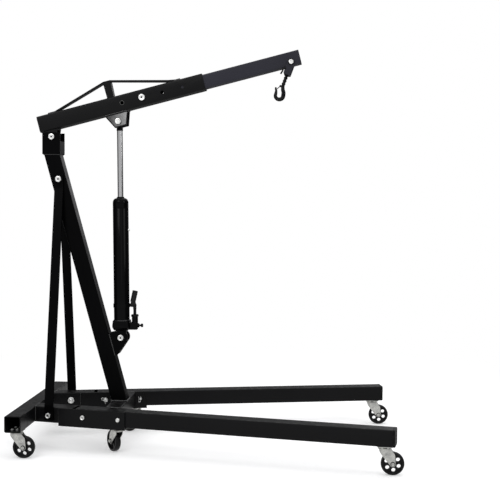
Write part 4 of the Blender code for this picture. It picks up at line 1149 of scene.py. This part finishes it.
def latch():
    """The sprung strip across the hook's mouth."""
    end = bowl_point(BOWL_R + 0.0025, 0.0215)
    along = (end - LATCH_EARS).normalized()
    reach = (end - LATCH_EARS).length
    outline = arc(0, 0, 0.0024, 70, 290, 10) + [(0.004, -0.0016), (reach - 0.002, -0.0014)]
    outline += [(reach, -0.0002), (reach, 0.0012), (0.004, 0.0014)]
    strip = make("hook_latch_strip", prism(outline, LATCH_EARS, along, along.cross(Y), -0.0038, 0.0038))
    dressed(soften(strip, 0.0003, 35), "hook_latch", "bolt_zinc", ["hook_latch"], OXIDE)
    coil = helix(LATCH_EARS - Y * 0.0030, Y, 0.0031, 0.0012, 5)
    piece("hook_latch_spring", [wire(coil, 0.00045, 6, along)], "hook_latch", "bolt_zinc", 60, OXIDE)


# ---- camera, light and floor
CAMERA_SENSOR = 36
CAMERA_LENS = 70.085
CAMERA_SPOT = (0.4334, -4.0746, 1.0297)
CAMERA_YAW = 3.84
CAMERA_PITCH = 2.35
CAMERA_ROLL = -0.39


def camera():
    """The photo's view: turned to the left, then down, then rolled, in degrees."""
    data = bpy.data.cameras.new("view")
    data.sensor_width = CAMERA_SENSOR
    data.lens = CAMERA_LENS
    made = linked("view", data)
    yaw, pitch, roll = (math.radians(a) for a in (CAMERA_YAW, CAMERA_PITCH, CAMERA_ROLL))
    ahead = Vector((-math.sin(yaw) * math.cos(pitch), math.cos(yaw) * math.cos(pitch), -math.sin(pitch)))
    level = Vector((math.cos(yaw), math.sin(yaw), 0))
    down = ahead.cross(level)
    right = level * math.cos(roll) + down * math.sin(roll)
    up = level * math.sin(roll) - down * math.cos(roll)
    pose = Matrix((right, up, -ahead)).transposed().to_4x4()
    pose.translation = Vector(CAMERA_SPOT)
    made.matrix_world = pose
    bpy.context.scene.camera = made


ROOM_LIGHT = 0.62
ROOM_FRONT = 0.75
ROOM_BACK = 0.14
ROOM_TURN = (-0.64, -0.34)
ROOM_ABOVE = 0.80
ROOM_RISE = (0.15, 0.75)
STRIP = 1.5
STRIP_NEAR = (0.05, 0.15)
STRIP_FAR = (0.30, 0.50)
STRIP_RISE = (0.03, 0.13)
STRIP_LOW = 0.1
ROOM_COLOUR = (0.98, 0.985, 1.0, 1)
WHITE = (1, 1, 1, 1)
FLOOR_COLOUR = (0.86, 0.86, 0.86, 1)
FLOOR_GLOW = 0.31
FLOOR_MIRRORED = 0.70
FLOOR_NEAR = 1.3
FLOOR_FAR = 2.6
FLOOR_REACH = 60


def studio():
    """White to the eye and even as light; mirrored, bright in front, above and in a strip to one side."""
    world = bpy.data.worlds.new("studio")
    bpy.context.scene.world = world
    world.use_nodes = True
    g = Graph(world.node_tree)
    way = g.parts_of(g.add("TexCoord").outputs["Generated"])
    front = g.ranged(way["Y"], *ROOM_TURN, ROOM_FRONT, ROOM_BACK)
    above = g.ranged(way["Z"], *ROOM_RISE, 0.0, ROOM_ABOVE)
    near, far = g.ranged(way["X"], *STRIP_NEAR, 0.0, STRIP), g.ranged(way["X"], *STRIP_FAR, STRIP, 0.0)
    rise = g.ranged(way["Z"], *STRIP_RISE, STRIP_LOW, 1.0)
    strip = g.math("MULTIPLY", g.math("MINIMUM", near, far), rise)
    mirrored = g.math("MAXIMUM", g.math("MAXIMUM", front, above), strip)
    path = g.add("LightPath").outputs
    kind = g.add("Mix", data_type="FLOAT")
    kind.inputs[2].default_value = ROOM_LIGHT
    g.put(path["Is Glossy Ray"], kind.inputs[0])
    g.put(mirrored, kind.inputs[3])
    room, white = g.tree.nodes["Background"], g.add("Background")
    room.inputs["Color"].default_value = ROOM_COLOUR
    g.put(kind.outputs[0], room.inputs["Strength"])
    white.inputs["Color"].default_value = WHITE
    white.inputs["Strength"].default_value = 1.0
    seen = g.mixed(path["Is Camera Ray"], room.outputs[0], white.outputs[0])
    g.put(seen, g.tree.nodes["World Output"].inputs["Surface"])


def lamp(name, spot, aim, size, power):
    data = bpy.data.lights.new(name, "AREA")
    data.shape = "RECTANGLE"
    data.size, data.size_y = size
    data.energy = power
    made = linked(name, data)
    made.location = spot
    made.rotation_euler = (Vector(aim) - Vector(spot)).to_track_quat("-Z", "Y").to_euler()


def lamps():
    lamp("key", (-1.8, -3.4, 3.6), (0, 0, 0.6), (2.2, 2.2), 62)
    lamp("fill", (3.2, -1.6, 2.6), (0, 0, 0.7), (1.6, 2.4), 34)
    lamp("top", (0.2, 0.6, 4.0), (0, 0, 0), (3.2, 3.2), 45)


def floor_look():
    """Pale and shadowed near the crane, plain white far off; reflections see it dimmer, like the room."""
    n = Nodes("floor")
    n.surface("Base Color", FLOOR_COLOUR)
    n.surface("Roughness", 0.9)
    n.surface("Specular IOR Level", 0.1)
    path = n.add("LightPath").outputs
    glow, plain, dim, lit = n.add("Emission"), n.add("Emission"), n.add("Emission"), n.add("AddShader")
    n.put(n.math("MULTIPLY", path["Is Camera Ray"], FLOOR_GLOW), glow.inputs["Strength"])
    n.put(n.shader.outputs[0], lit.inputs[0])
    n.put(glow.outputs[0], lit.inputs[1])
    away, heading = n.add("VectorMath", operation="LENGTH"), n.add("VectorMath", operation="NORMALIZE")
    n.put(n.place, away.inputs[0])
    n.put(n.place, heading.inputs[0])
    turned = n.ranged(n.parts_of(heading.outputs["Vector"])["Y"], *ROOM_TURN, 0.0, 1.0 - ROOM_BACK)
    hidden = n.math("MULTIPLY", turned, path["Is Glossy Ray"])
    n.put(n.math("SUBTRACT", 1.0, hidden), plain.inputs["Strength"])
    dim.inputs["Strength"].default_value = FLOOR_MIRRORED
    near = n.mixed(path["Is Glossy Ray"], lit.outputs[0], dim.outputs[0])
    far = n.ranged(away.outputs["Value"], FLOOR_NEAR, FLOOR_FAR, 0.0, 1.0)
    n.put(n.mixed(far, near, plain.outputs[0]), n.tree.nodes["Material Output"].inputs["Surface"])
    return n.material


def floor():
    points = [(FLOOR_REACH * a, FLOOR_REACH * b, 0) for a, b in ((-1, -1), (1, -1), (1, 1), (-1, 1))]
    made = make("floor", (points, [[0, 1, 2, 3]]))
    made.data.materials.append(floor_look())


def main():
    camera()
    studio()
    lamps()
    floor()
    steelwork()
    lug_faces()
    hole_rim()
    capped_legs()
    beam_nuts()
    hardware()
    base_welds()
    mast_welds()
    boom_welds()
    casters()
    ram_barrel()
    ram_fittings()
    rod_and_eye()
    pump_details()
    clevis()
    clevis_keeper()
    forged_hook()
    latch()
    bpy.context.scene.view_settings.view_transform = "Standard"


main()
